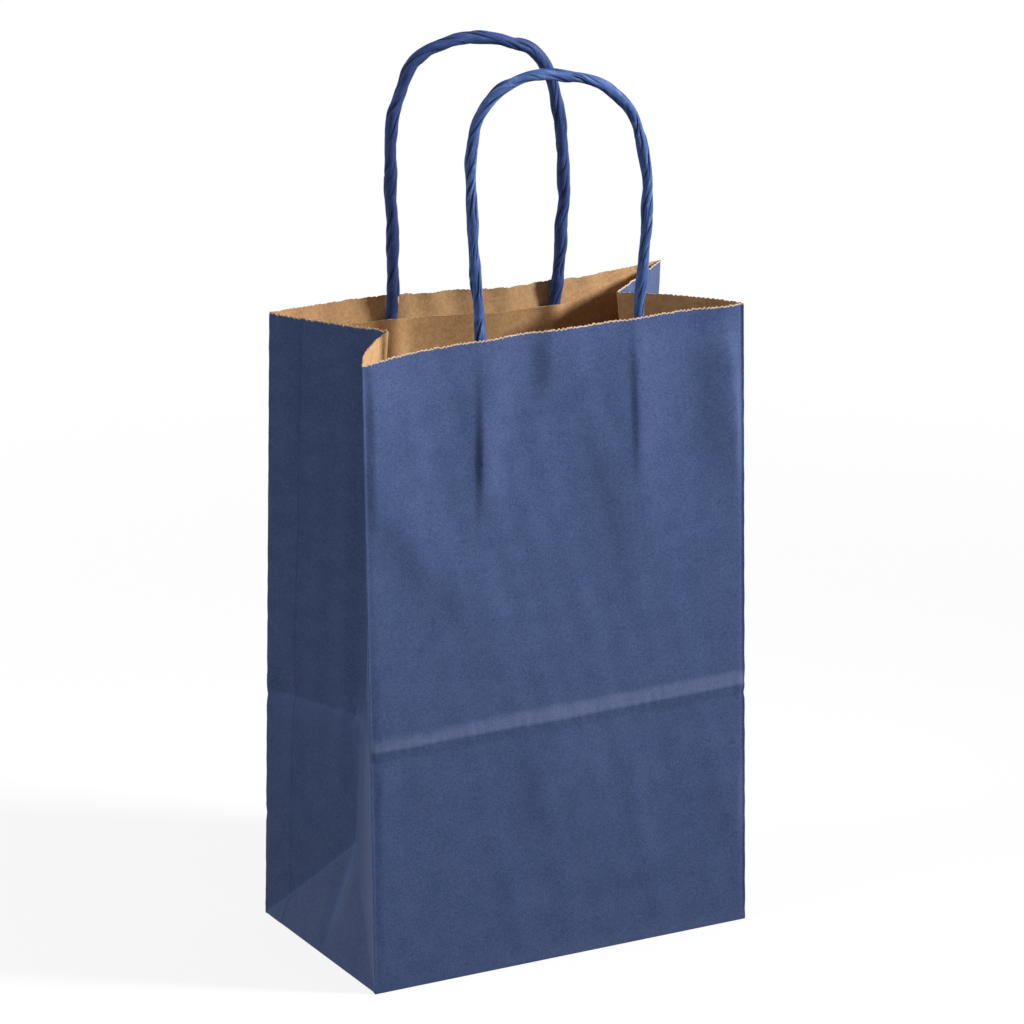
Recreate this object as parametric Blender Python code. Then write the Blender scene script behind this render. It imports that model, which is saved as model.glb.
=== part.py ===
"""Folded paper carrier bag with two twisted paper handles.

The bag stands open on its block bottom: two printed panels, two gussets folded inwards, a
glued lap seam, a bottom of folded layers and a pinked top edge. Each handle is a twisted
paper cord whose two ends are held against a panel by a strip glued over them.
Metres, +Z up, origin on the floor under the middle of the bottom, front panel towards -Y.
"""

import math

import bpy
import numpy as np

# Standing bag
BAG_WIDTH = 0.1406
BAG_DEPTH = 0.0795
BAG_HEIGHT = 0.2162
BACK_EDGE_DROP = 0.0014
PAPER = 0.00025
PIECE_GAP = 0.0003

# How far each upright corner leans inwards at the mouth
FRONT_LEFT_LEAN = 0.0088
FRONT_RIGHT_LEAN = 0.0066
BACK_LEFT_LEAN = 0.0048
BACK_RIGHT_LEAN = 0.0172

# Inward bow of the two panels along the mouth, as (distance from the left corner, bow)
FRONT_BOW = ((0.0, 0.0), (0.014, 0.0038), (0.040, 0.0059), (0.068, 0.0056),
             (0.096, 0.0039), (0.124, 0.0033), (0.140, 0.0))
BACK_BOW = ((0.0, 0.0), (0.018, -0.0009), (0.040, -0.0014), (0.056, 0.0012),
            (0.078, 0.0068), (0.106, 0.0057), (0.124, 0.0026), (0.140, 0.0))
BOW_START_HEIGHT = 0.088
BOW_GROWTH = 1.4

# Gusset folds: inward distance of the middle fold from the side plane of the bag
TRIANGLE_INSET = 0.0137
CREASE_INSET = 0.0150
ABOVE_CREASE_INSET = 0.0168
LEFT_MOUTH_INSET = 0.0249
RIGHT_MOUTH_INSET = 0.0306
MOUTH_FOLD_Y = -0.0020
FRONT_GUSSET_BOW = 0.0022
TRIANGLE_DISH = 0.0007

# Level crease left where the flat bag was folded, and the scuffed ridge above it
CREASE_HEIGHT = 0.0805
RIDGE_STEP = 0.0035
RIDGE_RISE = 0.0004

# Lap seam in the back half of the left gusset
LAP_EDGE_BAY = 2
LAP_HIDDEN_BAY = 1
LAP_EDGE_WIDTH = 0.0001

# Pinked top edge
TOOTH_PITCH = 0.0022
TOOTH_DEPTH = 0.0005
RIM_STRIP = 0.0020

# Block bottom of three glued layers, with two flaps that overlap past the middle
BOTTOM_LAYERS = 3
FLAP_OVERLAP = 0.020
FLAP_CORNER_INSET = 0.0010
CUT_REACH = 0.006

# Faces across the panels and half gussets
PANEL_BAYS = 21
GUSSET_BAYS = 7
UPPER_BAYS = 5

# Smallest share of a corner's spread of face directions that still moves its inner point
OFFSET_CUTOFF = 0.08

# Twisted paper cord of the handles, an oval that turns as it goes
FRONT_CORD_WIDE = 0.0041
FRONT_CORD_NARROW = 0.0034
BACK_CORD_WIDE = 0.0045
BACK_CORD_NARROW = 0.0039
CORD_GROOVE = 0.00045
CORD_GROOVE_SHARPNESS = 6
CORD_FOLD_ANGLE = -math.pi / 3
CORD_FOLD_DEPTH = 0.00027
CORD_FOLD_SHARPNESS = 8
CORD_TWIST_PITCH = 0.042
CORD_TAIL = 0.050
CORD_SIDES = 12
CORD_STEP = 0.0034
TAIL_BAYS = 4
CURVE_SAMPLES = 2000
HANDLE_LEAN_ANGLE = math.radians(3.5)

# Handle loops above the mouth: leg places, rise, and the outline as
# (share of the half span from the middle, share of the rise)
FRONT_LEG_LEFT = -0.0228
FRONT_LEG_RIGHT = 0.0345
FRONT_RISE = 0.0844
FRONT_LOOP = ((-1.0, 0.0), (-1.048, 0.31), (-1.065, 0.59), (-1.055, 0.72), (-0.950, 0.857),
              (-0.690, 0.957), (-0.285, 0.998), (0.208, 0.976), (0.581, 0.932), (0.926, 0.816),
              (1.122, 0.607), (1.140, 0.445), (1.078, 0.21), (1.0, 0.0))
BACK_LEG_LEFT = -0.0271
BACK_LEG_RIGHT = 0.0278
BACK_RISE = 0.0889
BACK_LOOP = ((-1.0, 0.0), (-1.040, 0.27), (-1.094, 0.54), (-1.079, 0.70), (-0.986, 0.815),
             (-0.797, 0.932), (-0.405, 0.990), (-0.107, 0.998), (0.326, 0.968), (0.594, 0.930),
             (0.811, 0.824), (0.952, 0.640), (1.036, 0.36), (1.021, 0.165), (1.0, 0.0))

# Strips glued over the cord ends
PATCH_WIDTH = 0.125
PATCH_TOP_DROP = 0.0085
PATCH_BELOW_CORD = 0.0085
PATCH_TENT_ANGLE = math.radians(50.0)
PATCH_FLAT_BAYS = 4
PATCH_COVER_LEVELS = 5
PATCH_END_COVER = 0.0010

FRONT = -1
BACK = 1

NAVY_PAPER = (0.062, 0.094, 0.216)
BROWN_PAPER = (0.330, 0.190, 0.085)
NAVY_CORD = (0.048, 0.088, 0.270)
PAPER_ROUGHNESS = 0.62


def clear_scene():
    """Remove what the scene holds."""
    for thing in list(bpy.data.objects):
        bpy.data.objects.remove(thing, do_unlink=True)


def paper_material(name, colour):
    """Matt paper of one colour."""
    material = bpy.data.materials.new(name)
    material.use_nodes = True
    shader = material.node_tree.nodes["Principled BSDF"]
    shader.inputs["Base Color"].default_value = (*colour, 1.0)
    shader.inputs["Roughness"].default_value = PAPER_ROUGHNESS
    shader.inputs["Metallic"].default_value = 0.0
    return material


def add_object(name, points, faces, material):
    """Put a mesh of points and faces into the scene as one object."""
    mesh = bpy.data.meshes.new(name)
    mesh.from_pydata([tuple(float(c) for c in p) for p in points], [], faces)
    mesh.validate()
    thing = bpy.data.objects.new(name, mesh)
    bpy.context.scene.collection.objects.link(thing)
    if material is not None:
        mesh.materials.append(material)
    return thing


def smooth_through(knots, values, at):
    """Cubic curve through the values at the knots, with the slope at each taken from its neighbours."""
    knots = np.asarray(knots, float)
    values = np.asarray(values, float)
    slopes = np.gradient(values, knots)
    bay = np.clip(np.searchsorted(knots, at, side="right") - 1, 0, len(knots) - 2)
    length = knots[bay + 1] - knots[bay]
    t = (at - knots[bay]) / length
    start = (1 + 2 * t) * (1 - t) ** 2 * values[bay] + t * (1 - t) ** 2 * length * slopes[bay]
    end = t ** 2 * (3 - 2 * t) * values[bay + 1] - t ** 2 * (1 - t) * length * slopes[bay + 1]
    return start + end


# Shape of the walls

def triangle_height():
    """Height of the gusset triangle's tip: its slant side is half the depth of the bag."""
    return math.sqrt((BAG_DEPTH / 2) ** 2 - TRIANGLE_INSET ** 2)


def bow_fade(z):
    """Share of the mouth's bow that is left at a height."""
    return max(0.0, (z - BOW_START_HEIGHT) / (BAG_HEIGHT - BOW_START_HEIGHT)) ** BOW_GROWTH


def wall_distance(side, x, z):
    """Distance of a panel's outer face from the middle plane of the bag."""
    across = min(max(x / BAG_WIDTH + 0.5, 0.0), 1.0)
    if side == FRONT:
        lean = FRONT_LEFT_LEAN + (FRONT_RIGHT_LEAN - FRONT_LEFT_LEAN) * across
        outline = FRONT_BOW
    else:
        lean = BACK_LEFT_LEAN + (BACK_RIGHT_LEAN - BACK_LEFT_LEAN) * across
        outline = BACK_BOW
    places, bows = zip(*outline)
    places = np.asarray(places) * BAG_WIDTH / places[-1]
    bow = float(smooth_through(places, bows, across * BAG_WIDTH))
    return BAG_DEPTH / 2 - lean * z / BAG_HEIGHT - bow * bow_fade(z)


def mouth_height(wall, share):
    """Height of the top edge at a place across a wall."""
    back_height = BAG_HEIGHT - BACK_EDGE_DROP
    if wall == "front":
        return BAG_HEIGHT
    if wall == "right_front_half":
        return BAG_HEIGHT - BACK_EDGE_DROP * share
    if wall == "left_front_half":
        return back_height + BACK_EDGE_DROP * share
    return back_height


def fold_inset(mouth_inset, z):
    """Inward distance of a gusset's middle fold from the side plane at a height."""
    heights = (triangle_height(), CREASE_HEIGHT, CREASE_HEIGHT + 2 * RIDGE_STEP, BAG_HEIGHT)
    insets = (TRIANGLE_INSET, CREASE_INSET, ABOVE_CREASE_INSET, mouth_inset)
    return float(np.interp(z, heights, insets))


def half_gusset_point(hand, side, from_corner, z):
    """Point of a half gusset: hand is -1 on the left and 1 on the right, from_corner runs 0 to 1."""
    mouth_inset = LEFT_MOUTH_INSET if hand < 0 else RIGHT_MOUTH_INSET
    tip = triangle_height()
    inset = from_corner * fold_inset(mouth_inset, z)
    corner_y = side * wall_distance(side, hand * BAG_WIDTH / 2, z)
    fold_y = MOUTH_FOLD_Y * z / BAG_HEIGHT
    if z < tip:
        flat = TRIANGLE_INSET * z / tip
        inset = min(inset, flat)
        if from_corner > 1.0 - 0.5 / GUSSET_BAYS:
            inset += TRIANGLE_DISH * 4.0 * (z / tip) * (1.0 - z / tip)
    y = corner_y + (fold_y - corner_y) * from_corner
    x = hand * (BAG_WIDTH / 2 - inset)
    if side == FRONT:
        bulge = FRONT_GUSSET_BOW * 4.0 * from_corner * (1.0 - from_corner) * bow_fade(z)
        x += hand * bulge * math.sqrt(0.5)
        y += bulge * math.sqrt(0.5)
    return x, y


def wall_point(wall, share, z):
    """Point of the folded skin at a share across one of the six walls, anticlockwise, and a height."""
    if wall == "front":
        x = BAG_WIDTH * (share - 0.5)
        ridge = 0.0
        if 0.0 < share < 1.0:
            peak = CREASE_HEIGHT + RIDGE_STEP
            ridge = RIDGE_RISE * max(0.0, 1.0 - abs(z - peak) / RIDGE_STEP)
        return x, -wall_distance(FRONT, x, z) - ridge
    if wall == "back":
        x = BAG_WIDTH * (0.5 - share)
        return x, wall_distance(BACK, x, z)
    if wall == "right_front_half":
        return half_gusset_point(1, FRONT, share, z)
    if wall == "right_back_half":
        return half_gusset_point(1, BACK, 1.0 - share, z)
    if wall == "left_back_half":
        return half_gusset_point(-1, BACK, share, z)
    return half_gusset_point(-1, FRONT, 1.0 - share, z)


def wall_shares(wall):
    """Places of the upright mesh lines across a wall, without its last edge."""
    if wall in ("front", "back"):
        return [i / PANEL_BAYS for i in range(PANEL_BAYS)]
    shares = [i / GUSSET_BAYS for i in range(GUSSET_BAYS)]
    if wall == "left_back_half":
        step = LAP_EDGE_WIDTH / (BAG_DEPTH / 2)
        shares += [LAP_HIDDEN_BAY / GUSSET_BAYS - step, LAP_EDGE_BAY / GUSSET_BAYS - step]
    return sorted(shares)


def lap_steps(wall, share):
    """Outward steps of the outer and the inner face at the lap seam, as shares of the paper."""
    if wall != "left_back_half":
        return 0.0, 0.0
    step = LAP_EDGE_WIDTH / (BAG_DEPTH / 2)
    hidden = LAP_HIDDEN_BAY / GUSSET_BAYS
    edge = LAP_EDGE_BAY / GUSSET_BAYS
    outer = np.interp(share, (0.0, hidden, edge - step, edge), (0.0, 1.0, 1.0, 0.0))
    inner = np.interp(share, (0.0, hidden - step, hidden), (0.0, 1.0, 0.0))
    return float(outer), float(inner)


def wall_levels():
    """Heights of the level mesh lines, with one on each fold."""
    tip = triangle_height()
    levels = [tip * i / GUSSET_BAYS for i in range(GUSSET_BAYS + 1)]
    levels += [CREASE_HEIGHT, CREASE_HEIGHT + RIDGE_STEP, CREASE_HEIGHT + 2 * RIDGE_STEP]
    upper = np.linspace(levels[-1], BAG_HEIGHT - RIM_STRIP, UPPER_BAYS + 1)
    return levels + list(upper[1:])


def fitted_height(wall, share, z):
    """Height of a mesh line at this place, stretched so that it keeps its distance from the top edge."""
    above = max(0.0, (z - BOW_START_HEIGHT) / (BAG_HEIGHT - RIM_STRIP - BOW_START_HEIGHT))
    return z + (mouth_height(wall, share) - BAG_HEIGHT) * min(above, 1.0)


def on_triangle_fold(wall, share, level):
    """Whether a mesh point lies on the slanting fold of a gusset triangle."""
    if wall in ("front", "back"):
        return False
    from_corner = share if wall in ("right_front_half", "left_back_half") else 1.0 - share
    slack = 1.5 * LAP_EDGE_WIDTH / (BAG_DEPTH / 2)
    return abs(level / triangle_height() - from_corner) < slack


# Bag body

def thicken(points, faces, depths):
    """Give a sheet its thickness: every point moves inwards to where its offset faces meet."""
    points = np.asarray(points, float)
    normals = []
    for face in faces:
        ring = points[list(face)]
        area = np.cross(ring, np.roll(ring, -1, axis=0)).sum(axis=0)
        normals.append(area / np.linalg.norm(area))
    touching = [[] for _ in points]
    for index, face in enumerate(faces):
        for corner in face:
            touching[corner].append(index)
    inner = np.empty_like(points)
    for corner, around in enumerate(touching):
        planes = np.array([normals[i] for i in around])
        depth = np.array([-depths[i] for i in around])
        inner[corner] = points[corner] + np.linalg.lstsq(planes, depth, rcond=OFFSET_CUTOFF)[0]
    return inner


def close_sheet(faces, count):
    """Faces of a closed sheet: the outer ones, the inner ones turned over, and its open edges."""
    used = {(f[i], f[(i + 1) % len(f)]) for f in faces for i in range(len(f))}
    closed = [tuple(f) for f in faces]
    closed += [tuple(c + count for c in reversed(f)) for f in faces]
    for a, b in sorted(used):
        if (b, a) not in used:
            closed.append((b, a, a + count, b + count))
    return closed


def bag_skin():
    """Outer skin of the folded bag: points, faces, depth of each face and lap steps of each point."""
    walls = ("front", "right_front_half", "right_back_half",
             "back", "left_back_half", "left_front_half")
    stations = [(wall, share) for wall in walls for share in wall_shares(wall)]
    ends = []
    for index, (wall, share) in enumerate(stations):
        next_wall, next_share = stations[(index + 1) % len(stations)]
        ends.append(next_share if next_wall == wall else 1.0)
    levels = wall_levels()
    points, laps = [], []
    for level in levels:
        for wall, share in stations:
            z = fitted_height(wall, share, level)
            points.append((*wall_point(wall, share, z), z))
            laps.append(lap_steps(wall, share))
    across = len(stations)
    faces = []
    for row in range(len(levels) - 1):
        for column, (wall, share) in enumerate(stations):
            right = (column + 1) % across
            a, b = row * across + column, row * across + right
            c, d = b + across, a + across
            if on_triangle_fold(wall, share, levels[row]) and \
                    on_triangle_fold(wall, ends[column], levels[row + 1]):
                faces += [(a, b, c), (a, c, d)]
            elif on_triangle_fold(wall, ends[column], levels[row]) and \
                    on_triangle_fold(wall, share, levels[row + 1]):
                faces += [(a, b, d), (b, c, d)]
            else:
                faces.append((a, b, c, d))
    top = (len(levels) - 1) * across
    rim_start = len(points)
    rim = []
    for column, (wall, share) in enumerate(stations):
        chord = np.subtract(points[top + (column + 1) % across], points[top + column])
        teeth = int(round(np.linalg.norm(chord) / TOOTH_PITCH))
        halves = max(1, 2 * teeth)
        rim.append(len(points))
        for half in range(halves):
            place = share + (ends[column] - share) * half / halves
            z = mouth_height(wall, place)
            tooth = TOOTH_DEPTH * (1 - half % 2)
            points.append((*wall_point(wall, place, z), z - tooth))
            laps.append(lap_steps(wall, place))
    rim.append(len(points))
    for column in range(across):
        edge = list(range(rim[column], rim[column + 1]))
        last = rim[column + 1] if column + 1 < across else rim_start
        faces.append((top + column, top + (column + 1) % across, last, *reversed(edge)))
    depths = [PAPER] * len(faces)
    faces.append(tuple(reversed(range(across))))
    depths.append(BOTTOM_LAYERS * PAPER)
    return points, faces, depths, laps


def prism(name, outline, bottom, top):
    """Upright prism over an anticlockwise outline, kept as a guide for cutting."""
    count = len(outline)
    points = [(x, y, bottom) for x, y in outline] + [(x, y, top) for x, y in outline]
    faces = [tuple(reversed(range(count))), tuple(range(count, 2 * count))]
    faces += [(i, (i + 1) % count, (i + 1) % count + count, i + count) for i in range(count)]
    guide = add_object(name, points, faces, None)
    guide.display_type = "WIRE"
    guide.hide_render = True
    return guide


def cut_bottom_layers(body):
    """Cut the underside back so that the front flap lies over the back flap and both over the ends."""
    half_width = BAG_WIDTH / 2 - FLAP_CORNER_INSET
    half_depth = BAG_DEPTH / 2
    flap_edge = FLAP_OVERLAP / 2
    meet = half_width - half_depth
    tip = meet - flap_edge
    outside = half_width + 2 * CUT_REACH
    corner = (half_width + CUT_REACH, half_depth + CUT_REACH)
    around = [(-corner[0], -corner[1]), (-meet, 0.0), (-tip, flap_edge), (tip, flap_edge),
              (meet, 0.0), (corner[0], -corner[1]), (outside, -corner[1]),
              (outside, corner[1]), (-outside, corner[1]), (-outside, -corner[1])]
    left = [(-corner[0], -corner[1]), (-meet, 0.0), (-corner[0], corner[1])]
    right = [(corner[0], -corner[1]), (corner[0], corner[1]), (meet, 0.0)]
    end_top = (BOTTOM_LAYERS - 1) * PAPER
    guides = (prism("front_flap_guide", around, -CUT_REACH, PAPER),
              prism("left_end_guide", left, -CUT_REACH, end_top),
              prism("right_end_guide", right, -CUT_REACH, end_top))
    for guide in guides:
        cut = body.modifiers.new(guide.name, "BOOLEAN")
        cut.operation = "DIFFERENCE"
        cut.solver = "EXACT"
        cut.object = guide


def build_bag_body():
    """The folded and glued bag in one piece."""
    outer, faces, depths, laps = bag_skin()
    inner = thicken(outer, faces, depths)
    outer = np.asarray(outer, float)
    laps = np.asarray(laps, float)
    outer[:, 0] -= PAPER * laps[:, 0]
    inner[:, 0] -= PAPER * laps[:, 1]
    points = np.vstack((outer, inner))
    body = add_object("bag_body", points, close_sheet(faces, len(outer)),
                      paper_material("navy_printed_paper", NAVY_PAPER))
    cut_bottom_layers(body)
    return body


# Handles

def cord_size(side):
    """Greatest and least width of a handle's cord."""
    if side == FRONT:
        return FRONT_CORD_WIDE, FRONT_CORD_NARROW
    return BACK_CORD_WIDE, BACK_CORD_NARROW


def leg_axis_y(side, x, z):
    """Place of a cord's axis where it lies against the inside of its panel."""
    return side * (wall_distance(side, x, z) - PAPER - PIECE_GAP - cord_size(side)[0] / 2)


def handle_route(side):
    """Centre line of one handle, from one end under its strip over the loop to the other end."""
    if side == FRONT:
        left, right, rise, loop, mouth = (FRONT_LEG_LEFT, FRONT_LEG_RIGHT, FRONT_RISE,
                                          FRONT_LOOP, BAG_HEIGHT)
    else:
        left, right, rise, loop, mouth = (BACK_LEG_LEFT, BACK_LEG_RIGHT, BACK_RISE,
                                          BACK_LOOP, BAG_HEIGHT - BACK_EDGE_DROP)
    middle, half_span = (left + right) / 2, (right - left) / 2
    tail_heights = [mouth - CORD_TAIL * (1 - bay / TAIL_BAYS) for bay in range(TAIL_BAYS)]
    route = [(left, leg_axis_y(side, left, z), z) for z in tail_heights]
    left_y, right_y = leg_axis_y(side, left, mouth), leg_axis_y(side, right, mouth)
    for across, up in loop:
        y = left_y + (right_y - left_y) * min(max((across + 1) / 2, 0.0), 1.0)
        y -= side * math.tan(HANDLE_LEAN_ANGLE) * rise * up
        route.append((middle + half_span * across, y, mouth + rise * up))
    route += [(right, leg_axis_y(side, right, z), z) for z in reversed(tail_heights)]
    return np.array(route)


def even_points(route, step):
    """Points a step apart along the smooth curve through the route."""
    along = np.concatenate(([0.0], np.cumsum(np.linalg.norm(np.diff(route, axis=0), axis=1))))
    fine = np.linspace(0.0, along[-1], CURVE_SAMPLES)
    curve = np.stack([smooth_through(along, route[:, k], fine) for k in range(3)], axis=1)
    length = np.concatenate(([0.0], np.cumsum(np.linalg.norm(np.diff(curve, axis=0), axis=1))))
    count = int(round(length[-1] / step))
    places = np.linspace(0.0, length[-1], count + 1)
    return np.stack([np.interp(places, length, curve[:, k]) for k in range(3)], axis=1), places


def cord_radius(side, angle):
    """Section of the twisted cord: an oval with two creases along it."""
    wide, narrow = (width / 2 for width in cord_size(side))
    oval = wide * narrow / math.hypot(narrow * math.cos(angle), wide * math.sin(angle))
    groove = max(0.0, math.cos(angle - math.pi / 2)) ** CORD_GROOVE_SHARPNESS
    fold = max(0.0, math.cos(angle - CORD_FOLD_ANGLE)) ** CORD_FOLD_SHARPNESS
    return oval - CORD_GROOVE * groove - CORD_FOLD_DEPTH * fold


def build_handle(name, side, material):
    """Twisted paper cord of one handle, swept along its route with its section turning as it goes."""
    centres, along = even_points(handle_route(side), CORD_STEP)
    tangents = np.gradient(centres, axis=0)
    tangents /= np.linalg.norm(tangents, axis=1)[:, None]
    upright = np.array([0.0, float(side), 0.0])
    points = []
    for centre, tangent, place in zip(centres, tangents, along):
        first = upright - tangent * upright.dot(tangent)
        first /= np.linalg.norm(first)
        second = np.cross(tangent, first)
        turn = 2 * math.pi * place / CORD_TWIST_PITCH
        for k in range(CORD_SIDES):
            angle = 2 * math.pi * k / CORD_SIDES
            radius = cord_radius(side, angle)
            points.append(centre + radius * (math.cos(angle + turn) * first
                                             + math.sin(angle + turn) * second))
    faces = []
    rings = len(centres)
    for ring in range(rings - 1):
        for k in range(CORD_SIDES):
            a = ring * CORD_SIDES + k
            b = ring * CORD_SIDES + (k + 1) % CORD_SIDES
            faces.append((a, b, b + CORD_SIDES, a + CORD_SIDES))
    faces.append(tuple(reversed(range(CORD_SIDES))))
    faces.append(tuple(range((rings - 1) * CORD_SIDES, rings * CORD_SIDES)))
    handle = add_object(name, points, faces, material)
    handle.data.shade_smooth()
    return handle


# Strips over the cord ends

def tent_height(side, offset):
    """Height of a strip's wall side over the panel at a distance from a cord's axis."""
    axis = PIECE_GAP + cord_size(side)[0] / 2
    tangent = axis * math.sin(PATCH_TENT_ANGLE)
    offset = abs(offset)
    if offset <= tangent:
        return axis + math.sqrt(axis ** 2 - offset ** 2)
    top = axis + axis * math.cos(PATCH_TENT_ANGLE)
    return max(PIECE_GAP, top - (offset - tangent) * math.tan(PATCH_TENT_ANGLE))


def tent_half_width(side):
    """Distance from a cord's axis at which its strip meets the panel again."""
    axis = PIECE_GAP + cord_size(side)[0] / 2
    top = axis + axis * math.cos(PATCH_TENT_ANGLE)
    return axis * math.sin(PATCH_TENT_ANGLE) + (top - PIECE_GAP) / math.tan(PATCH_TENT_ANGLE)


def patch_stations(side, legs):
    """Places across a strip: flat stretches between the tents over the two cord ends."""
    foot = tent_half_width(side)
    crown = (PIECE_GAP + cord_size(side)[0] / 2) * math.sin(PATCH_TENT_ANGLE)
    stations = []
    left = -PATCH_WIDTH / 2
    for leg in legs:
        stations += list(np.linspace(left, leg - foot, PATCH_FLAT_BAYS + 1))
        stations += [leg - crown, leg - crown / 2, leg, leg + crown / 2, leg + crown]
        left = leg + foot
    return stations + list(np.linspace(left, PATCH_WIDTH / 2, PATCH_FLAT_BAYS + 1))


def build_patch(name, side, material):
    """Strip of brown paper glued over both ends of a handle, with a tent over each cord."""
    if side == FRONT:
        legs, mouth = (FRONT_LEG_LEFT, FRONT_LEG_RIGHT), BAG_HEIGHT
    else:
        legs, mouth = (BACK_LEG_LEFT, BACK_LEG_RIGHT), BAG_HEIGHT - BACK_EDGE_DROP
    top = mouth - PATCH_TOP_DROP
    bottom = mouth - CORD_TAIL - PATCH_BELOW_CORD
    covered = mouth - CORD_TAIL - PATCH_END_COVER
    levels = list(np.linspace(top, covered, PATCH_COVER_LEVELS)) + [bottom]
    stations = patch_stations(side, legs)
    points = []
    for z in levels:
        for x in stations:
            tent = max(tent_height(side, x - leg) for leg in legs) if z > bottom else PIECE_GAP
            points.append((x, side * (wall_distance(side, x, z) - PAPER - tent), z))
    across = len(stations)
    faces = []
    for row in range(len(levels) - 1):
        for column in range(across - 1):
            a, d = row * across + column, (row + 1) * across + column
            quad = (a, d, d + 1, a + 1)
            faces.append(quad if side == FRONT else tuple(reversed(quad)))
    inner = thicken(points, faces, [PAPER] * len(faces))
    return add_object(name, np.vstack((points, inner)), close_sheet(faces, len(points)), material)


def main():
    clear_scene()
    build_bag_body()
    cord = paper_material("navy_twisted_paper", NAVY_CORD)
    build_handle("front_handle", FRONT, cord)
    build_handle("back_handle", BACK, paper_material("navy_twisted_paper_back", NAVY_CORD))
    build_patch("front_handle_patch", FRONT, paper_material("brown_paper_front", BROWN_PAPER))
    build_patch("back_handle_patch", BACK, paper_material("brown_paper_back", BROWN_PAPER))


main()
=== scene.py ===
"""Looks of the paper carrier bag: printed kraft skin, pinked mouth, twisted paper handles."""

import logging
import math
from dataclasses import dataclass
from enum import Enum, IntEnum
from typing import Any, Sequence

import bpy
import numpy as np
from mathutils import Matrix, Vector


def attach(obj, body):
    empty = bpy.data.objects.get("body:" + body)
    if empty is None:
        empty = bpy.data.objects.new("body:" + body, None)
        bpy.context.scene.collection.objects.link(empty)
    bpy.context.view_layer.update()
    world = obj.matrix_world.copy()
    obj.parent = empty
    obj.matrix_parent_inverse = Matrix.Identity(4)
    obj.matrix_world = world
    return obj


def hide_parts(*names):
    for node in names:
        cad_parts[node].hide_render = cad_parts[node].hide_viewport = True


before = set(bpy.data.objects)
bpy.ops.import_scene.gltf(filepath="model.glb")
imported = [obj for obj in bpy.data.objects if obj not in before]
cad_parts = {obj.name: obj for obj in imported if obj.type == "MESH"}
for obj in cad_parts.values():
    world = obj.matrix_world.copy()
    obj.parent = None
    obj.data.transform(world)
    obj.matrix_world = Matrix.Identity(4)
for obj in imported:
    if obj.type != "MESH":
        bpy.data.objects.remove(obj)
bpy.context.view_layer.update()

log = logging.getLogger("carrier_bag")

Colour = tuple[float, float, float]
Place = tuple[float, float, float]
WHITE: Colour = (1.0, 1.0, 1.0)
MM = 0.001
# Metres of paper over one unit of the map named Paper
MAP_SPAN = 0.5
# Millimetres up to which the tags from_rim and fold are measured
TAG_REACH = 5.0


class Side(Enum):
    """The two wide panels, as the sign of their Y."""

    FRONT = -1
    BACK = 1


class Hand(Enum):
    """The two gussets, as the sign of their X."""

    LEFT = -1
    RIGHT = 1


class Face(Enum):
    """Material places of the bag's paper."""

    PRINTED = 0
    INSIDE = 1
    RAW_EDGE = 2


class Wall(IntEnum):
    """The six walls in their order, anticlockwise from the front left corner."""

    FRONT = 0
    RIGHT_FRONT = 1
    RIGHT_BACK = 2
    BACK = 3
    LEFT_BACK = 4
    LEFT_FRONT = 5


# Gusset and side of each wall; a panel has no gusset
WALLS: dict[Wall, tuple[Hand | None, Side]] = {
    Wall.FRONT: (None, Side.FRONT), Wall.RIGHT_FRONT: (Hand.RIGHT, Side.FRONT),
    Wall.RIGHT_BACK: (Hand.RIGHT, Side.BACK), Wall.BACK: (None, Side.BACK),
    Wall.LEFT_BACK: (Hand.LEFT, Side.BACK), Wall.LEFT_FRONT: (Hand.LEFT, Side.FRONT)}
PANELS = (Wall.FRONT, Wall.BACK)
# Half gussets that start at an upright corner, and those that end at one
CORNER_FIRST = (Wall.RIGHT_FRONT, Wall.LEFT_BACK)
CORNER_LAST = (Wall.RIGHT_BACK, Wall.LEFT_FRONT)


# Small helpers

def smooth_through(knots: np.ndarray, values: np.ndarray, at: np.ndarray) -> np.ndarray:
    """Cubic curve through values at knots: each bay is a Hermite cubic, with slopes from neighbours.

    Args:
        knots: Rising places of the values.
        values: Value at each knot.
        at: Places to read the curve at.

    Returns:
        The curve's values, in the shape of at.
    """
    slopes = np.gradient(values, knots)
    bay = np.clip(np.searchsorted(knots, at, side="right") - 1, 0, len(knots) - 2)
    length = knots[bay + 1] - knots[bay]
    t = (at - knots[bay]) / length
    start = (1 + 2 * t) * (1 - t) ** 2 * values[bay] + t * (1 - t) ** 2 * length * slopes[bay]
    end = t ** 2 * (3 - 2 * t) * values[bay + 1] - t ** 2 * (1 - t) * length * slopes[bay + 1]
    return start + end


def bump(at: np.ndarray, middle: float, width: float) -> np.ndarray:
    """Bell curve exp(-((at - middle) / width) squared)."""
    return np.exp(-((at - middle) / width) ** 2)


def ramp(at: np.ndarray, low: float, high: float) -> np.ndarray:
    """Smooth step from 0 at low to 1 at high: t squared times (3 - 2 t)."""
    t = np.clip((at - low) / (high - low), 0.0, 1.0)
    return t * t * (3 - 2 * t)


def ripples(at: np.ndarray, pitch: float, count: int, seed: int) -> np.ndarray:
    """Seeded sum of sines whose wavelengths spread about a pitch, scaled to about -1 to 1.

    Args:
        at: Places along one direction.
        pitch: Middle wavelength.
        count: Number of sines.
        seed: Seed of their phases and wavelengths.

    Returns:
        The sum, in the shape of at.
    """
    rng = np.random.default_rng(seed)
    waves = pitch * np.exp(rng.uniform(-0.7, 0.7, count))
    phases = rng.uniform(0.0, 2 * np.pi, count)
    total = np.zeros_like(at)
    for wave, phase in zip(waves, phases):
        total = total + np.sin(2 * np.pi * at / wave + phase)
    return total / math.sqrt(count)


def starts(lengths: np.ndarray) -> np.ndarray:
    """Where each of a row of lengths starts."""
    return np.concatenate(([0.0], np.cumsum(lengths)[:-1]))


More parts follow.
